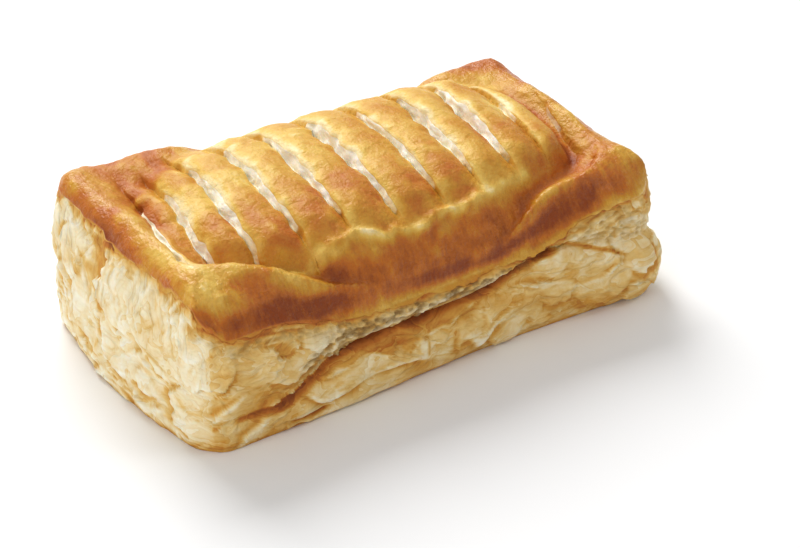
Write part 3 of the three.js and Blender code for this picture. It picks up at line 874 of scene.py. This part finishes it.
class Skin:
    """The skin of the roll: a divided block, shaped, with fine relief and fields for its finish."""

    def __init__(self):
        columns = grid_columns()
        self.mesh = skin_mesh(columns)
        block = get_points(self.mesh)
        column = np.rint((block[:, 0] + 1.0) / 2.0 * (len(columns["x"]) - 1)).astype(int)
        layer = np.rint((block[:, 2] + 1.0) / 2.0 * LAYERS).astype(int)
        self.layer = layer
        self.top = layer == LAYERS
        self.side = ~self.top
        self.y = HALF_WIDTH * block[:, 1] * (1.0 + ROW_CROWDING * (1.0 - block[:, 1] ** 2))
        self.left, self.right = columns["left"][column], columns["right"][column]
        self.place, self.share = columns["place"][column], columns["share"][column]
        self.in_slit = self.left == self.right
        self.in_strip = (self.left != self.right) & (self.left >= 0) & (self.right >= 0)
        opening = self.by_slit(lambda slit: np.where(slit >= 0, openness(slit, self.y), 0.0))
        self.opening = opening * (1.0 + self.along_slits(*SLIT_UNEVEN))
        self.wander = self.along_slits(*SLIT_WANDER)
        self.x = self.leaning(columns["x"][column])
        self.rim = top_height(self.x, self.y)
        self.seam = seam_height(self.x, self.y)
        at_seam = np.rint(LAYERS * self.seam / self.rim)
        below = self.seam * layer / at_seam
        above = lerp(self.seam, self.rim, (layer - at_seam) / (LAYERS - at_seam))
        self.height = np.where(layer > at_seam, above, below)
        self.shape()
        count = len(block)
        self.relief = np.zeros(count)
        self.fields = {name: np.zeros(count) for name in FIELDS}
        self.bake_top()
        self.lay_sides()
        self.paint_relief_shading()

    def by_slit(self, value):
        """A value of the slits on both sides, blended from one to the other."""
        return lerp(value(self.left), value(self.right), self.share)

    def along_slits(self, height, size, seed):
        """Noise that runs along the slits and differs from one to the next."""
        def noise(slit):
            return lumps(np.stack([SLIT_NOISE_APART * slit, self.y, 0.0 * self.y], axis=1), size, seed)

        return height * self.by_slit(noise)

    def leaning(self, x):
        """Nominal x, leaning with the slits and closing up where they are shut."""
        gap = self.place * SLIT_HALF_WIDTH * lerp(SLIT_SHUT_SHARE, 1.0, self.opening)
        slope = self.by_slit(lambda slit: np.where(slit >= 0, slit_lean[slit], 0.0))
        within = 1.0 - (self.y / HALF_WIDTH) ** 2
        return x + np.where(self.in_slit, gap, 0.0) + within * (slope * self.y + self.wander)

    def shape(self):
        """Form of the roll: crown and rim with tilted, pillowed strips, folds, and smooth sides."""
        x, y = self.x, self.y
        self.near = self.by_slit(lambda slit: slit_near[slit])
        self.far = self.by_slit(lambda slit: slit_far[slit])
        puffed = ramp(y - self.near, *STRIP_START) * (1.0 - ramp(y - self.far, *STRIP_STOP))
        puffed = puffed * (1.0 - ramp(np.abs(x), *STRIP_LAST))
        lap = np.maximum(self.opening, STRIP_LAP * puffed)
        self.lap = lap
        tilt = np.where(self.in_slit, self.place, np.where(self.in_strip, 1.0 - 2.0 * self.share, 0.0))
        pillow = np.where(self.in_strip, STRIP_RISE * puffed * np.sin(np.pi * self.share) ** STRIP_ROUND, 0.0)
        fall = (self.place + 1.0) / (SLIT_FLOOR + 1.0)
        climb = (1.0 - self.place) / (1.0 - SLIT_FLOOR)
        self.trench = np.where(self.in_slit, np.minimum(fall, climb), 0.0)
        z = self.rim + lap * (STRIP_TILT * tilt - SLIT_DEPTH * self.trench) + pillow
        px, py, _ = plan(x, y, rim_radius(y))
        points = np.stack([px, py, z], axis=1)
        self.fold = np.zeros(len(points))
        self.valley = np.zeros(len(points))
        self.outside = np.zeros(len(points))
        for line in (FOLD_LEFT, FOLD_RIGHT):
            inward, risen = from_crest(points, rounded(line))
            self.fold = np.maximum(self.fold, risen * bell(inward, 0.0, FOLD_REACH))
            self.valley = np.maximum(self.valley, risen * bell(inward, *VALLEY_PLACE))
            self.outside = np.maximum(self.outside, risen * bell(inward, *FOLD_OUTSIDE))
        within = ramp(HALF_LENGTH - np.abs(x), *FOLD_MARGIN) * ramp(HALF_WIDTH - np.abs(y), *FOLD_MARGIN)
        deep = lerp(*VALLEY_DEPTH, ramp(y, *VALLEY_FADE))
        lift = lerp(*FOLD_RISE, ramp(-x, *FOLD_LOWER))
        points[:, 2] += within * (lift * self.fold - deep * self.valley)
        folded = self.top * np.clip(2.0 * np.maximum(self.fold, self.valley), 0.0, 1.0)
        points[:, 2] = self.evened(points[:, 2], FOLD_SMOOTHING, folded)
        points[self.side], _ = side_surface(x[self.side], y[self.side], self.height[self.side])
        set_points(self.mesh, points)
        self.points = points
        normals = np.empty(len(points) * 3, dtype=np.float32)
        self.mesh.vertex_normals.foreach_get("vector", normals)
        self.normals = normals.reshape(-1, 3)

    def bake_top(self):
        """Crust: wrinkles, blisters along the near ends of the slits, crumb in the slits, and browning with
        painted shade and highlights.
        """
        top = self.top
        at, x, y = self.points[top], self.x[top], self.y[top]
        opening, near = self.opening[top], self.near[top]
        to_end = HALF_LENGTH - np.abs(x)
        to_side = HALF_WIDTH - np.abs(y)
        crest = side_crest(x, y)
        at_rim = np.maximum(ramp(to_end, *RIM_FADE_END), ramp(to_side, crest + RIM_FADE_SIDE, 0.5 * crest))
        crumb = ramp(opening, *SLIT_CRUMB_OPENING) * ramp(self.trench[top], *SLIT_CRUMB_DEPTH)
        crumb = self.in_slit[top] * crumb

        bubble = sum(share * np.maximum(lumps(at, size, seed), 0.0) ** 2 for share, size, seed in BUBBLES)
        ridge_line = near - RIDGE_FORWARD + heaped(at, RIDGE_WANDER)
        ridge = bell(y, ridge_line, RIDGE_REACH) * bell(x, *RIDGE_PLACE)
        blister = ridge * (RIDGE_BLISTER + heaped(at, RIDGE_BLISTERS))
        relief = heaped(at, WRINKLES) + BUBBLE_RISE * bubble + heaped(at, RIM_STREAKS) * at_rim
        self.relief[top] = lerp(relief + RIDGE_RISE * blister, heaped(at, SLIT_CRUMB), crumb)

        mottle = heaped(at, MOTTLE) + PATCH_SHARE * (ramp(heaped(at, PATCHES), *PATCH_EDGE) - 0.5)
        # Painted shade behind the last slits at the back left
        inward = y + BACK_LEFT_SLANT * np.maximum(-x - BACK_LEFT_ALONG[1], 0.0)
        back_left_shade = ramp(-x, *BACK_LEFT_ALONG) * ramp(inward, *BACK_LEFT_ACROSS)
        back_left_shade = back_left_shade * lerp(BACK_LEFT_END, 1.0, ramp(to_end, *BACK_LEFT_END_FADE))
        # Painted shade in the valley inside the folds
        shaded = np.maximum(ramp(x, *VALLEY_SHADED_RIGHT), ramp(y, *VALLEY_SHADED_BACK))
        valley_shade = lerp(*VALLEY_SHADE_SHARE, shaded) * self.valley[top]
        rim_share = np.maximum.reduce([at_rim, valley_shade, BACK_LEFT_SHARE * back_left_shade])
        rim = self.rim_bake(mottle, back_left_shade, shaded)
        bake = lerp(self.crown_bake(mottle), rim, rim_share) + self.front_bake()
        pale_ridge = ridge * (RIDGE_PALE_SHARE + heaped(at, RIDGE_PALE_LUMPS))
        bake = bake - RIDGE_PALE * pale_ridge - BUBBLE_PALE * bubble

        toast = SLIT_TOAST + heaped(at, SLIT_TOAST_LUMPS)
        # Painted shade at the near end of a slit
        toast = toast + rise(opening, *SLIT_SHUT_TOAST) + rise(y - near, *SLIT_NEAR_SHADE)
        gloss = np.maximum(at_rim, self.fold[top]) * (1.0 - back_left_shade)
        self.keep(top, crust=1.0 - crumb, bake=bake, toast=toast, tone=0.5, gloss=gloss)

    def crown_bake(self, mottle):
        """Browning of the crown: a strip is browner in its middle, with painted shade towards its low edge
        and a painted highlight at its lip.
        """
        top = self.top
        y, share, strip, lap = self.y[top], self.share[top], self.in_strip[top], self.lap[top]
        middle = np.where(strip, np.sin(np.pi * share), 0.0)
        strip_lip_highlight = np.where(strip, np.exp(-share / LIP_REACH), 0.0)
        strip_lip_highlight = strip_lip_highlight + self.in_slit[top] * ramp(self.place[top], *LIP_IN_SLIT)
        low_edge_shade = np.where(strip, rise(share, *STRIP_LOW_SHADE) + rise(share, *STRIP_EDGE_SHADE) * lap, 0.0)
        bake = CROWN_BAKE + rise(y, *CROWN_BACK_SHADE) + STRIP_MIDDLE * middle + rise(-y, *CROWN_FRONT)
        return bake + MOTTLE_BAKE * mottle - LIP_PAINTED_HIGHLIGHT * strip_lip_highlight * lap + low_edge_shade

    def rim_bake(self, mottle, back_left_shade, shaded):
        """Browning of the rim, with painted shade in its valley and a painted highlight on its fold crests
        and left rim, which differs from end to end and from front to back.
        """
        top = self.top
        at, x, y = self.points[top], self.x[top], self.y[top]
        outside = rise(x, *OUTSIDE_RIGHT) * ramp(x, *OUTSIDE_RIGHT_STOP) + rise(x, *OUTSIDE_LEFT)
        steep = rise(self.normals[top, 2], *RIM_STEEP)
        bake = RIM_BAKE + MOTTLE_BAKE * mottle + steep + heaped(at, RIM_FIBRES)
        bake = bake + outside * self.outside[top] + lerp(*VALLEY_SHADE_BAKE, shaded) * self.valley[top]
        # Painted highlight towards the front of the left rim, browning towards its back
        left_rim_highlight_and_bake = lerp(*LEFT_RIM_HIGHLIGHT_AND_BAKE, ramp(y, *LEFT_RIM_TURN)) * ramp(y, *LEFT_RIM_START)
        bake = bake + left_rim_highlight_and_bake * ramp(x, *LEFT_RIM)
        bake = bake + rise(x, *LEFT_EDGE)
        for strength, along, along_range, across, across_range in RIM_BROWNING_AND_HIGHLIGHTS:
            bake = bake + strength * along(x, *along_range) * across(y, *across_range)
        # Painted shade behind the last slits, and painted highlight along the fold crests
        return bake + BACK_LEFT_SHADE_BAKE * back_left_shade - FOLD_HIGHLIGHT * self.fold[top]

    def front_bake(self):
        """Colour that the front face adds: a dark band of browning with painted shade in the crease under the
        right fold, a browner middle and a pale fringe.
        """
        top = self.top
        at, x, y = self.points[top], self.x[top], self.y[top]
        above_edge = at[:, 2] - top_height(x, np.sign(y) * HALF_WIDTH)
        up_face = np.hypot(np.maximum(above_edge, 0.0), HALF_WIDTH - np.abs(y))
        across = (up_face + heaped(at, BAND_WANDER) - np.interp(x, *BAND_CENTRE)) / np.interp(x, *BAND_REACH)
        band = np.interp(x, *BAND_STRENGTH) * np.exp(-np.abs(across) ** 3)
        band = band * (BAND_SHARE + heaped(at, BAND_LUMPS))
        face = np.interp(x, *FACE_BROWNING) * bell(up_face, *FACE_HEIGHT)
        fringe = np.exp(-up_face / FRINGE_REACH) * ramp(x, *FRINGE_START)
        return (y < 0.0) * (BAND_BROWNING_AND_SHADE * band + face) - FRINGE_PALE * fringe

    def lay_sides(self):
        """Sides: overlapping sheets, leaves torn from them, open crumb and the toasted lines of the front."""
        side = self.side
        at, x, y, z = self.points[side], self.x[side], self.y[side], self.height[side]
        front = np.clip(-y / HALF_WIDTH, 0.0, 1.0) ** FRONT_SHARPNESS
        end = ramp(np.abs(self.normals[side, 0]), *END_FACING)
        above_seam = z - self.seam[side]
        below_rim = self.rim[side] - z
        free = ramp(below_rim, *FREE_BELOW_RIM) * ramp(z, *FREE_ABOVE_BASE)
        ragged = heaped(at, RAGGED)
        leaf, tone, leaf_edge, hollow_shading, leaf_gap_shadow, large = leaf_layers(edge_distance(x, y), z)

        higher = (z - UPRIGHT_HEIGHT) / UPRIGHT_HEIGHT
        upright = end * ramp(heaped(at, UPRIGHT_LUMPS) + higher, *UPRIGHT_EDGE)
        wide = side_sheets(at, upright, SHEET_LEAN[0], WIDE_SHEETS, 31)
        narrow = side_sheets(at, upright, SHEET_LEAN[1], NARROW_SHEETS, 41)
        bare = np.where(large, SHEET_ON_LEAF, 1.0)
        fine = lerp(*NARROW_SHARE, front)
        # Painted shade in the nooks of sheets and painted highlight on their lips
        nook_shade = bare * np.maximum(wide["nook_shade"], fine * narrow["nook_shade"])
        lip_highlight = bare * np.maximum(wide["lip_highlight"], fine * narrow["lip_highlight"])

        crumb = self.side_crumb(front, above_seam, below_rim, ragged)
        holes = np.minimum(pits(at, *LARGE_HOLES) + LARGE_HOLES_FILLED, pits(at, *SMALL_HOLES))
        layered = np.maximum(leaf, bare * wide["proud"]) + bare * fine * narrow["proud"]
        layered = layered + heaped(at, RIPPLES)
        crease, slot, browned = self.front_lines(above_seam, ragged)
        relief = lerp(layered * free, HOLE_DEPTH * (holes - HOLE_LEVEL), crumb)
        self.relief[side] = relief - front * (SLOT_DEPTH * slot + CREASE_DEPTH * crease)

        glaze = below_rim - GLAZE_EDGE
        for heights, size, seed in (GLAZE_WANDER, GLAZE_FRAY):
            glaze = glaze - lerp(*heights, front) * lumps(at, size, seed)
        fade = np.exp(-np.maximum(glaze, 0.0) / lerp(*GLAZE_FADE, front))
        # Painted shade under leaves and in nooks, painted highlight on lips, then painted shadow in the gaps
        # under leaves
        shade = np.maximum(PAINTED_HOLLOW_SHADE * np.minimum(hollow_shading, PAINTED_HOLLOW_SHADE_MOST), PAINTED_NOOK_SHADE * nook_shade)
        toast = TOAST_PLAIN + TOAST_LEAF_EDGE * leaf_edge + shade - PAINTED_LIP_HIGHLIGHT * lip_highlight + TOAST_RAGGED * ragged
        toast = toast + TOAST_BASE * bell(z, 0.0, TOAST_BASE_REACH)
        toast = toast + front * (TOAST_FRONT + rise(-x, *TOAST_FRONT_LEFT))
        toast = np.maximum(np.minimum(toast, TOAST_MOST), lerp(*PAINTED_GAP_SHADOW, front) * leaf_gap_shadow * free)
        toast = np.maximum(toast, front * browned) + GLAZE_TOAST * fade - TOAST_CRUMB * crumb
        glaze_bake = GLAZE_BAKE + front * lerp(*GLAZE_BAKE_FRONT, ramp(x, *FRINGE_START))
        open_front = lerp(*HOLE_SHADE_FRONT, ramp(x, *HOLE_SHADE_TURN))
        open_share = lerp(HOLE_SHADE_ELSEWHERE, open_front, front)
        # Painted shade in the holes of the open crumb
        pore = crumb * ramp(holes, *HOLE_SHADE) * open_share
        self.keep(side, crust=ramp(glaze, *GLAZE_BLUR), bake=glaze_bake + heaped(at, GLAZE_BAKE_LUMPS))
        self.keep(side, toast=toast, tone=tone, pore=pore, end=upright)

    def side_crumb(self, front, above_seam, below_rim, ragged):
        """Where the dough lies open: between seam and rim, along the rim and at the left of the front."""
        x = self.x[self.side]
        gap = ramp(above_seam, *CRUMB_OVER_SEAM) * ramp(below_rim, *CRUMB_BELOW_RIM)
        middle = np.maximum(bell(x, *CRUMB_MIDDLE), bell(x, *CRUMB_RIGHT)) * front * gap
        left = CRUMB_LEFT_SHARE * front * bell(x, *CRUMB_LEFT) * bell(above_seam, *CRUMB_LEFT_HEIGHT)
        crumb = np.maximum.reduce([middle, CRUMB_RIM_SHARE * bell(below_rim, *CRUMB_RIM), left])
        return np.clip(crumb * (1.0 + CRUMB_RAGGED * ragged), 0.0, 1.0)

    def front_lines(self, above_seam, ragged):
        """Crease and slot of the front, and how far they, the seam and a golden band toast it."""
        side = self.side
        at, x, z = self.points[side], self.x[side], self.height[side]
        width = lerp(*SEAM_STRIP, bell(x, *SEAM_STRIP_PLACE)) * (1.0 + SEAM_STRIP_RAGGED * ragged)
        fade, edge = SEAM_STRIP_BLUR
        seam = ramp(above_seam, -width - fade, edge - width) * ramp(above_seam, *SEAM_STRIP_TOP)
        seam = seam * ramp(x, *SEAM_STRIP_START) * ramp(x, *SEAM_STRIP_STOP)
        # Painted shade towards the strip's top, under the upper sheet
        seam = seam * lerp(*SEAM_STRIP_DARKER, ramp(above_seam, *SEAM_STRIP_DARKEST))
        seam = seam * (SEAM_STRIP_SHARE + heaped(at, SEAM_STRIP_LUMPS))
        crease = (x > CREASE[0][0]) * bell(z, np.interp(x, *CREASE), CREASE_REACH)
        crease = crease * ramp(x, *CREASE_STOP)
        golden = bell(z + GOLDEN_RAGGED * ragged, np.interp(x, *GOLDEN_BAND), *GOLDEN_REACH)
        golden = golden * ramp(x, *GOLDEN_START)
        slot = bell(x, *SLOT_PLACE) * bell(z, SLOT_HEIGHT + heaped(at, SLOT_WANDER), *SLOT_REACH)
        lines = {"seam": seam, "crease": crease, "golden": golden, "slot": slot}
        return crease, slot, np.maximum.reduce([LINE_TOAST[name] * line for name, line in lines.items()])

    def keep(self, where, **fields):
        for name, values in fields.items():
            self.fields[name][where] = values

    def evened(self, values, times, share=1.0):
        """Values of the vertices, drawn towards their neighbours' a number of times."""
        ends = np.empty(len(self.mesh.edges) * 2, dtype=np.int32)
        self.mesh.edges.foreach_get("vertices", ends)
        one, other = ends.reshape(-1, 2).T
        count = len(values)
        neighbours = np.bincount(one, minlength=count) + np.bincount(other, minlength=count)
        for _ in range(times):
            around = np.bincount(one, values[other], count) + np.bincount(other, values[one], count)
            values = lerp(values, around / neighbours, share / 2.0)
        return values

    def paint_relief_shading(self):
        """Painted shade in the hollows of the relief, and a painted highlight on its ridges."""
        level = self.evened(self.relief, HOLLOW_SPREAD)
        hollow_shading = np.clip((level - self.relief) / HOLLOW_DEPTH, -1.0, 1.0)
        pale = ramp(self.fields["toast"], *HOLLOW_PALE)
        self.fields["toast"] += np.where(hollow_shading > 0.0, HOLLOW_PAINTED_SHADE * pale, RIDGE_PAINTED_HIGHLIGHT) * hollow_shading
        self.fields["bake"] += RELIEF_PAINTED_SHADING * hollow_shading

    def piece(self):
        """The finished skin, standing on a flat underside."""
        flat = self.layer == 0
        points = self.points + self.normals * np.where(flat, 0.0, self.relief)[:, None]
        points[:, 2] = np.where(flat, 0.0, np.maximum(points[:, 2], 0.0))
        set_points(self.mesh, points + IN_FRAME)
        for name, values in self.fields.items():
            set_field(self.mesh, name, np.clip(values, 0.0, 1.0))
        return new_object("pastry_skin", self.mesh)


# Finish

class Field:
    """A number that varies over the surface. Operators add Math nodes to the finish it belongs to."""

    def __init__(self, finish, socket):
        self.finish = finish
        self.socket = socket

    def math(self, operation, *values):
        sockets = dict(enumerate(values))
        return self.finish.node("ShaderNodeMath", {"operation": operation}, sockets)

    def __add__(self, other):
        return self.math("ADD", self, other)

    def __radd__(self, other):
        return self.math("ADD", other, self)

    def __sub__(self, other):
        return self.math("SUBTRACT", self, other)

    def __rsub__(self, other):
        return self.math("SUBTRACT", other, self)

    def __mul__(self, other):
        return self.math("MULTIPLY", self, other)

    def __rmul__(self, other):
        return self.math("MULTIPLY", other, self)

    def fraction(self):
        return self.math("FRACT", self)

    def between(self, low, high):
        """Smooth step from 0 at low to 1 at high."""
        settings = {"interpolation_type": "SMOOTHSTEP"}
        sockets = {"Value": self, "From Min": low, "From Max": high}
        return self.finish.node("ShaderNodeMapRange", settings, sockets)


class Finish:
    """A node material. Its method for nodes takes a type, settings, and the sockets' values or links."""

    def __init__(self, name):
        self.material = bpy.data.materials.new(name)
        self.material.use_nodes = True
        self.tree = self.material.node_tree
        self.shader = self.tree.nodes["Principled BSDF"]

    def node(self, kind, settings, sockets, output=0):
        """Adds a node and gives one of its outputs."""
        node = self.tree.nodes.new(kind)
        for name, value in settings.items():
            if name == "stops":
                self.set_stops(node.color_ramp, value)
            else:
                setattr(node, name, value)
        for name, value in sockets.items():
            self.feed(node.inputs[name], value)
        return Field(self, node.outputs[output])

    def feed(self, target, value):
        if isinstance(value, Field):
            self.tree.links.new(value.socket, target)
        else:
            target.default_value = value

    @staticmethod
    def set_stops(color_ramp, stops):
        while len(color_ramp.elements) < len(stops):
            color_ramp.elements.new(0.5)
        for element, (place, colour) in zip(color_ramp.elements, stops):
            element.position = place
            element.color = colour

    def own(self, name):
        """The piece's own field of that name."""
        return self.node("ShaderNodeAttribute", {"attribute_name": name}, {}, "Fac")

    def place(self):
        return self.node("ShaderNodeTexCoord", {}, {}, "Object")

    def noise(self, place, size_mm, detail, stretch=(1.0, 1.0, 1.0), swirl=0.0):
        """Noise from 0 to 1 with features about that size."""
        scaled = self.node("ShaderNodeMapping", {}, {"Vector": place, "Scale": stretch})
        sockets = {"Vector": scaled, "Scale": 1.0 / (size_mm * MM), "Detail": detail, "Distortion": swirl}
        return self.node("ShaderNodeTexNoise", {}, sockets, "Fac")

    def pores(self, place, size_mm):
        sockets = {"Vector": place, "Scale": 1.0 / (size_mm * MM)}
        return self.node("ShaderNodeTexVoronoi", {}, sockets, "Distance")

    def colours(self, value, stops):
        return self.node("ShaderNodeValToRGB", {"stops": stops}, {"Fac": value}, "Color")

    def mix(self, share, first, second):
        """A blend of two colours, by the numbers of a Mix node's colour sockets."""
        sockets = {"Factor": share, 6: first, 7: second}
        return self.node("ShaderNodeMix", {"data_type": "RGBA"}, sockets, 2)

    def bump(self, height, distance_mm):
        sockets = {"Height": height, "Distance": distance_mm * MM}
        return self.node("ShaderNodeBump", {}, sockets, "Normal")

    def set(self, **sockets):
        for name, value in sockets.items():
            self.feed(self.shader.inputs[name.replace("_", " ")], value)


def colour(red, green, blue):
    """A colour given as screen values from 0 to 255."""
    linear = []
    for value in (red, green, blue):
        share = value / 255.0
        linear.append(share / 12.92 if share <= 0.04045 else ((share + 0.055) / 1.055) ** 2.4)
    return (*linear, 1.0)


CRUST_COLOURS = [
    (0.0, colour(248, 230, 178)),
    (0.25, colour(228, 188, 90)),
    (0.5, colour(204, 145, 46)),
    (0.72, colour(188, 105, 31)),
    (1.0, colour(140, 64, 20)),
]
DOUGH_COLOURS = [
    (0.0, colour(253, 251, 236)),
    (0.25, colour(243, 226, 184)),
    (0.45, colour(229, 192, 118)),
    (0.62, colour(212, 156, 66)),
    (0.8, colour(186, 108, 36)),
    (1.0, colour(138, 70, 26)),
]
# Painted shade inside the holes of the crumb
PORE_SHADE_COLOUR = colour(132, 100, 58)

# Noises of the finish: size of their features, detail, stretch along X, Y and Z, and swirl
FINISH_NOISES = {
    "mottle": (4.0, 4.0),
    "speckle": (0.8, 3.0),
    "streaks": (1.6, 3.0, (1.6, 0.5, 0.5)),
    "lying": (8.0, 2.5, (0.7, 0.7, 1.4), 0.6),
    "standing": (8.0, 2.5, (1.0, 1.2, 0.7), 0.7),
    "fine": (1.4, 5.0),
    "fibres": (1.4, 4.0, (0.6, 0.6, 2.0)),
}
HOLE_SIZE = 1.1
BLISTER_SIZE = 1.8


def baked_pastry():
    """Glazed crust where the top was brushed, pale leafy dough at the sides and in the slits."""
    finish = Finish("baked_pastry")
    place = finish.place()
    crust, bake, gloss, toast, tone, pore, end = (finish.own(name) for name in FIELDS)
    noises = (finish.noise(place, *numbers) for numbers in FINISH_NOISES.values())
    mottle, speckle, streaks, lying, standing, fine, fibres = noises

    browning_and_shading = bake + 0.3 * (mottle - 0.5) + 0.14 * (speckle - 0.5) + 0.3 * gloss * (streaks - 0.5)
    crust_colour = finish.colours(browning_and_shading, CRUST_COLOURS)

    flow = lying + end * (standing - lying)
    step = (4.0 * flow).fraction()
    thin_step = (11.0 * flow).fraction()
    # Painted shade in the nooks between sheets and painted highlight on their lips
    nook_shade = 1.0 - step.between(0.0, 0.3)
    lip_highlight = step.between(0.6, 0.95)
    thin_nook_shade = 1.0 - thin_step.between(0.0, 0.4)
    toasting_and_shading = toast + 0.14 * (tone - 0.5) + 0.1 * (speckle - 0.5)
    toasting_and_shading = toasting_and_shading + 0.08 * nook_shade - 0.05 * lip_highlight + 0.05 * thin_nook_shade
    # Dough colour, with painted shade in the crumb's holes
    dough_colour = finish.mix(0.8 * pore, finish.colours(toasting_and_shading, DOUGH_COLOURS), PORE_SHADE_COLOUR)

    edge = crust.between(0.35, 0.65)
    holes = finish.pores(place, HOLE_SIZE)
    blisters = mottle.between(0.4, 0.6) * finish.pores(place, BLISTER_SIZE)
    crinkle = edge * (0.5 * fine + 0.4 * speckle + 0.5 * gloss * streaks - 0.4 * blisters)
    leafy = 0.5 * step + 0.25 * thin_step + 0.4 * fibres + 0.6 * pore * holes
    finish.set(
        Base_Color=finish.mix(edge, dough_colour, crust_colour),
        Roughness=0.75 - edge * (0.27 + 0.18 * gloss) + 0.25 * (mottle - 0.5),
        Normal=finish.bump(crinkle + (1.0 - edge) * leafy, 0.6),
        Subsurface_Weight=0.15,
        Subsurface_Radius=(1.0, 0.6, 0.3),
        Subsurface_Scale=1.2 * MM,
        IOR=1.45,
        Specular_IOR_Level=0.32,
    )
    return finish.material


# Stage: lights are given as their place and size in metres and their power

FLOOR_HALF = 3.0
FLOOR_WHITE = (0.9, 0.9, 0.9, 1.0)
FLOOR_ROUGHNESS = 0.9
LIGHTS = {
    "key_light": ((0.15, 0.95, 0.9), 0.7, 16.5),
    "left_light": ((-1.1, -0.3, 0.5), 0.8, 4.2),
    "front_light": ((0.56, -0.5, 0.95), 0.3, 1.3),
}
SKY_WHITE = (1.0, 1.0, 1.0, 1.0)
SKY_STRENGTH = 0.47


def make_floor():
    bm = bmesh.new()
    bmesh.ops.create_grid(bm, x_segments=2, y_segments=2, size=FLOOR_HALF)
    mesh = new_mesh("floor", bm)
    finish = Finish("floor_white")
    finish.set(Base_Color=FLOOR_WHITE, Roughness=FLOOR_ROUGHNESS)
    mesh.materials.append(finish.material)
    new_object("floor", mesh)


def soft_light(name, place, size, power):
    """A square soft light, aimed at the roll."""
    data = bpy.data.lights.new(name, "AREA")
    data.shape = "SQUARE"
    data.size = size
    data.energy = power
    lamp = new_object(name, data)
    lamp.location = place
    aim(lamp, -Vector(place))


def make_lights():
    for name, (place, size, power) in LIGHTS.items():
        soft_light(name, place, size, power)
    world = bpy.data.worlds.new("studio")
    world.use_nodes = True
    background = world.node_tree.nodes["Background"]
    background.inputs["Color"].default_value = SKY_WHITE
    background.inputs["Strength"].default_value = SKY_STRENGTH
    bpy.context.scene.world = world
    bpy.context.scene.view_settings.view_transform = "Standard"


def make_camera():
    turn, drop = math.radians(CAMERA_TURN), math.radians(CAMERA_DROP)
    forward = Vector((math.sin(turn) * math.cos(drop), math.cos(turn) * math.cos(drop), -math.sin(drop)))
    data = bpy.data.cameras.new("camera")
    data.lens = CAMERA_LENS
    data.sensor_width = CAMERA_SENSOR
    camera = new_object("camera", data)
    camera.location = (Vector(CAMERA_TARGET) - forward * CAMERA_DISTANCE) * MM
    aim(camera, forward)
    bpy.context.scene.camera = camera


make_camera()
pastry_finish = baked_pastry()
skin = Skin()
pastry = skin.piece()
pastry.data.materials.append(pastry_finish)
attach(pastry, "root")
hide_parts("pastry")
make_floor()
make_lights()
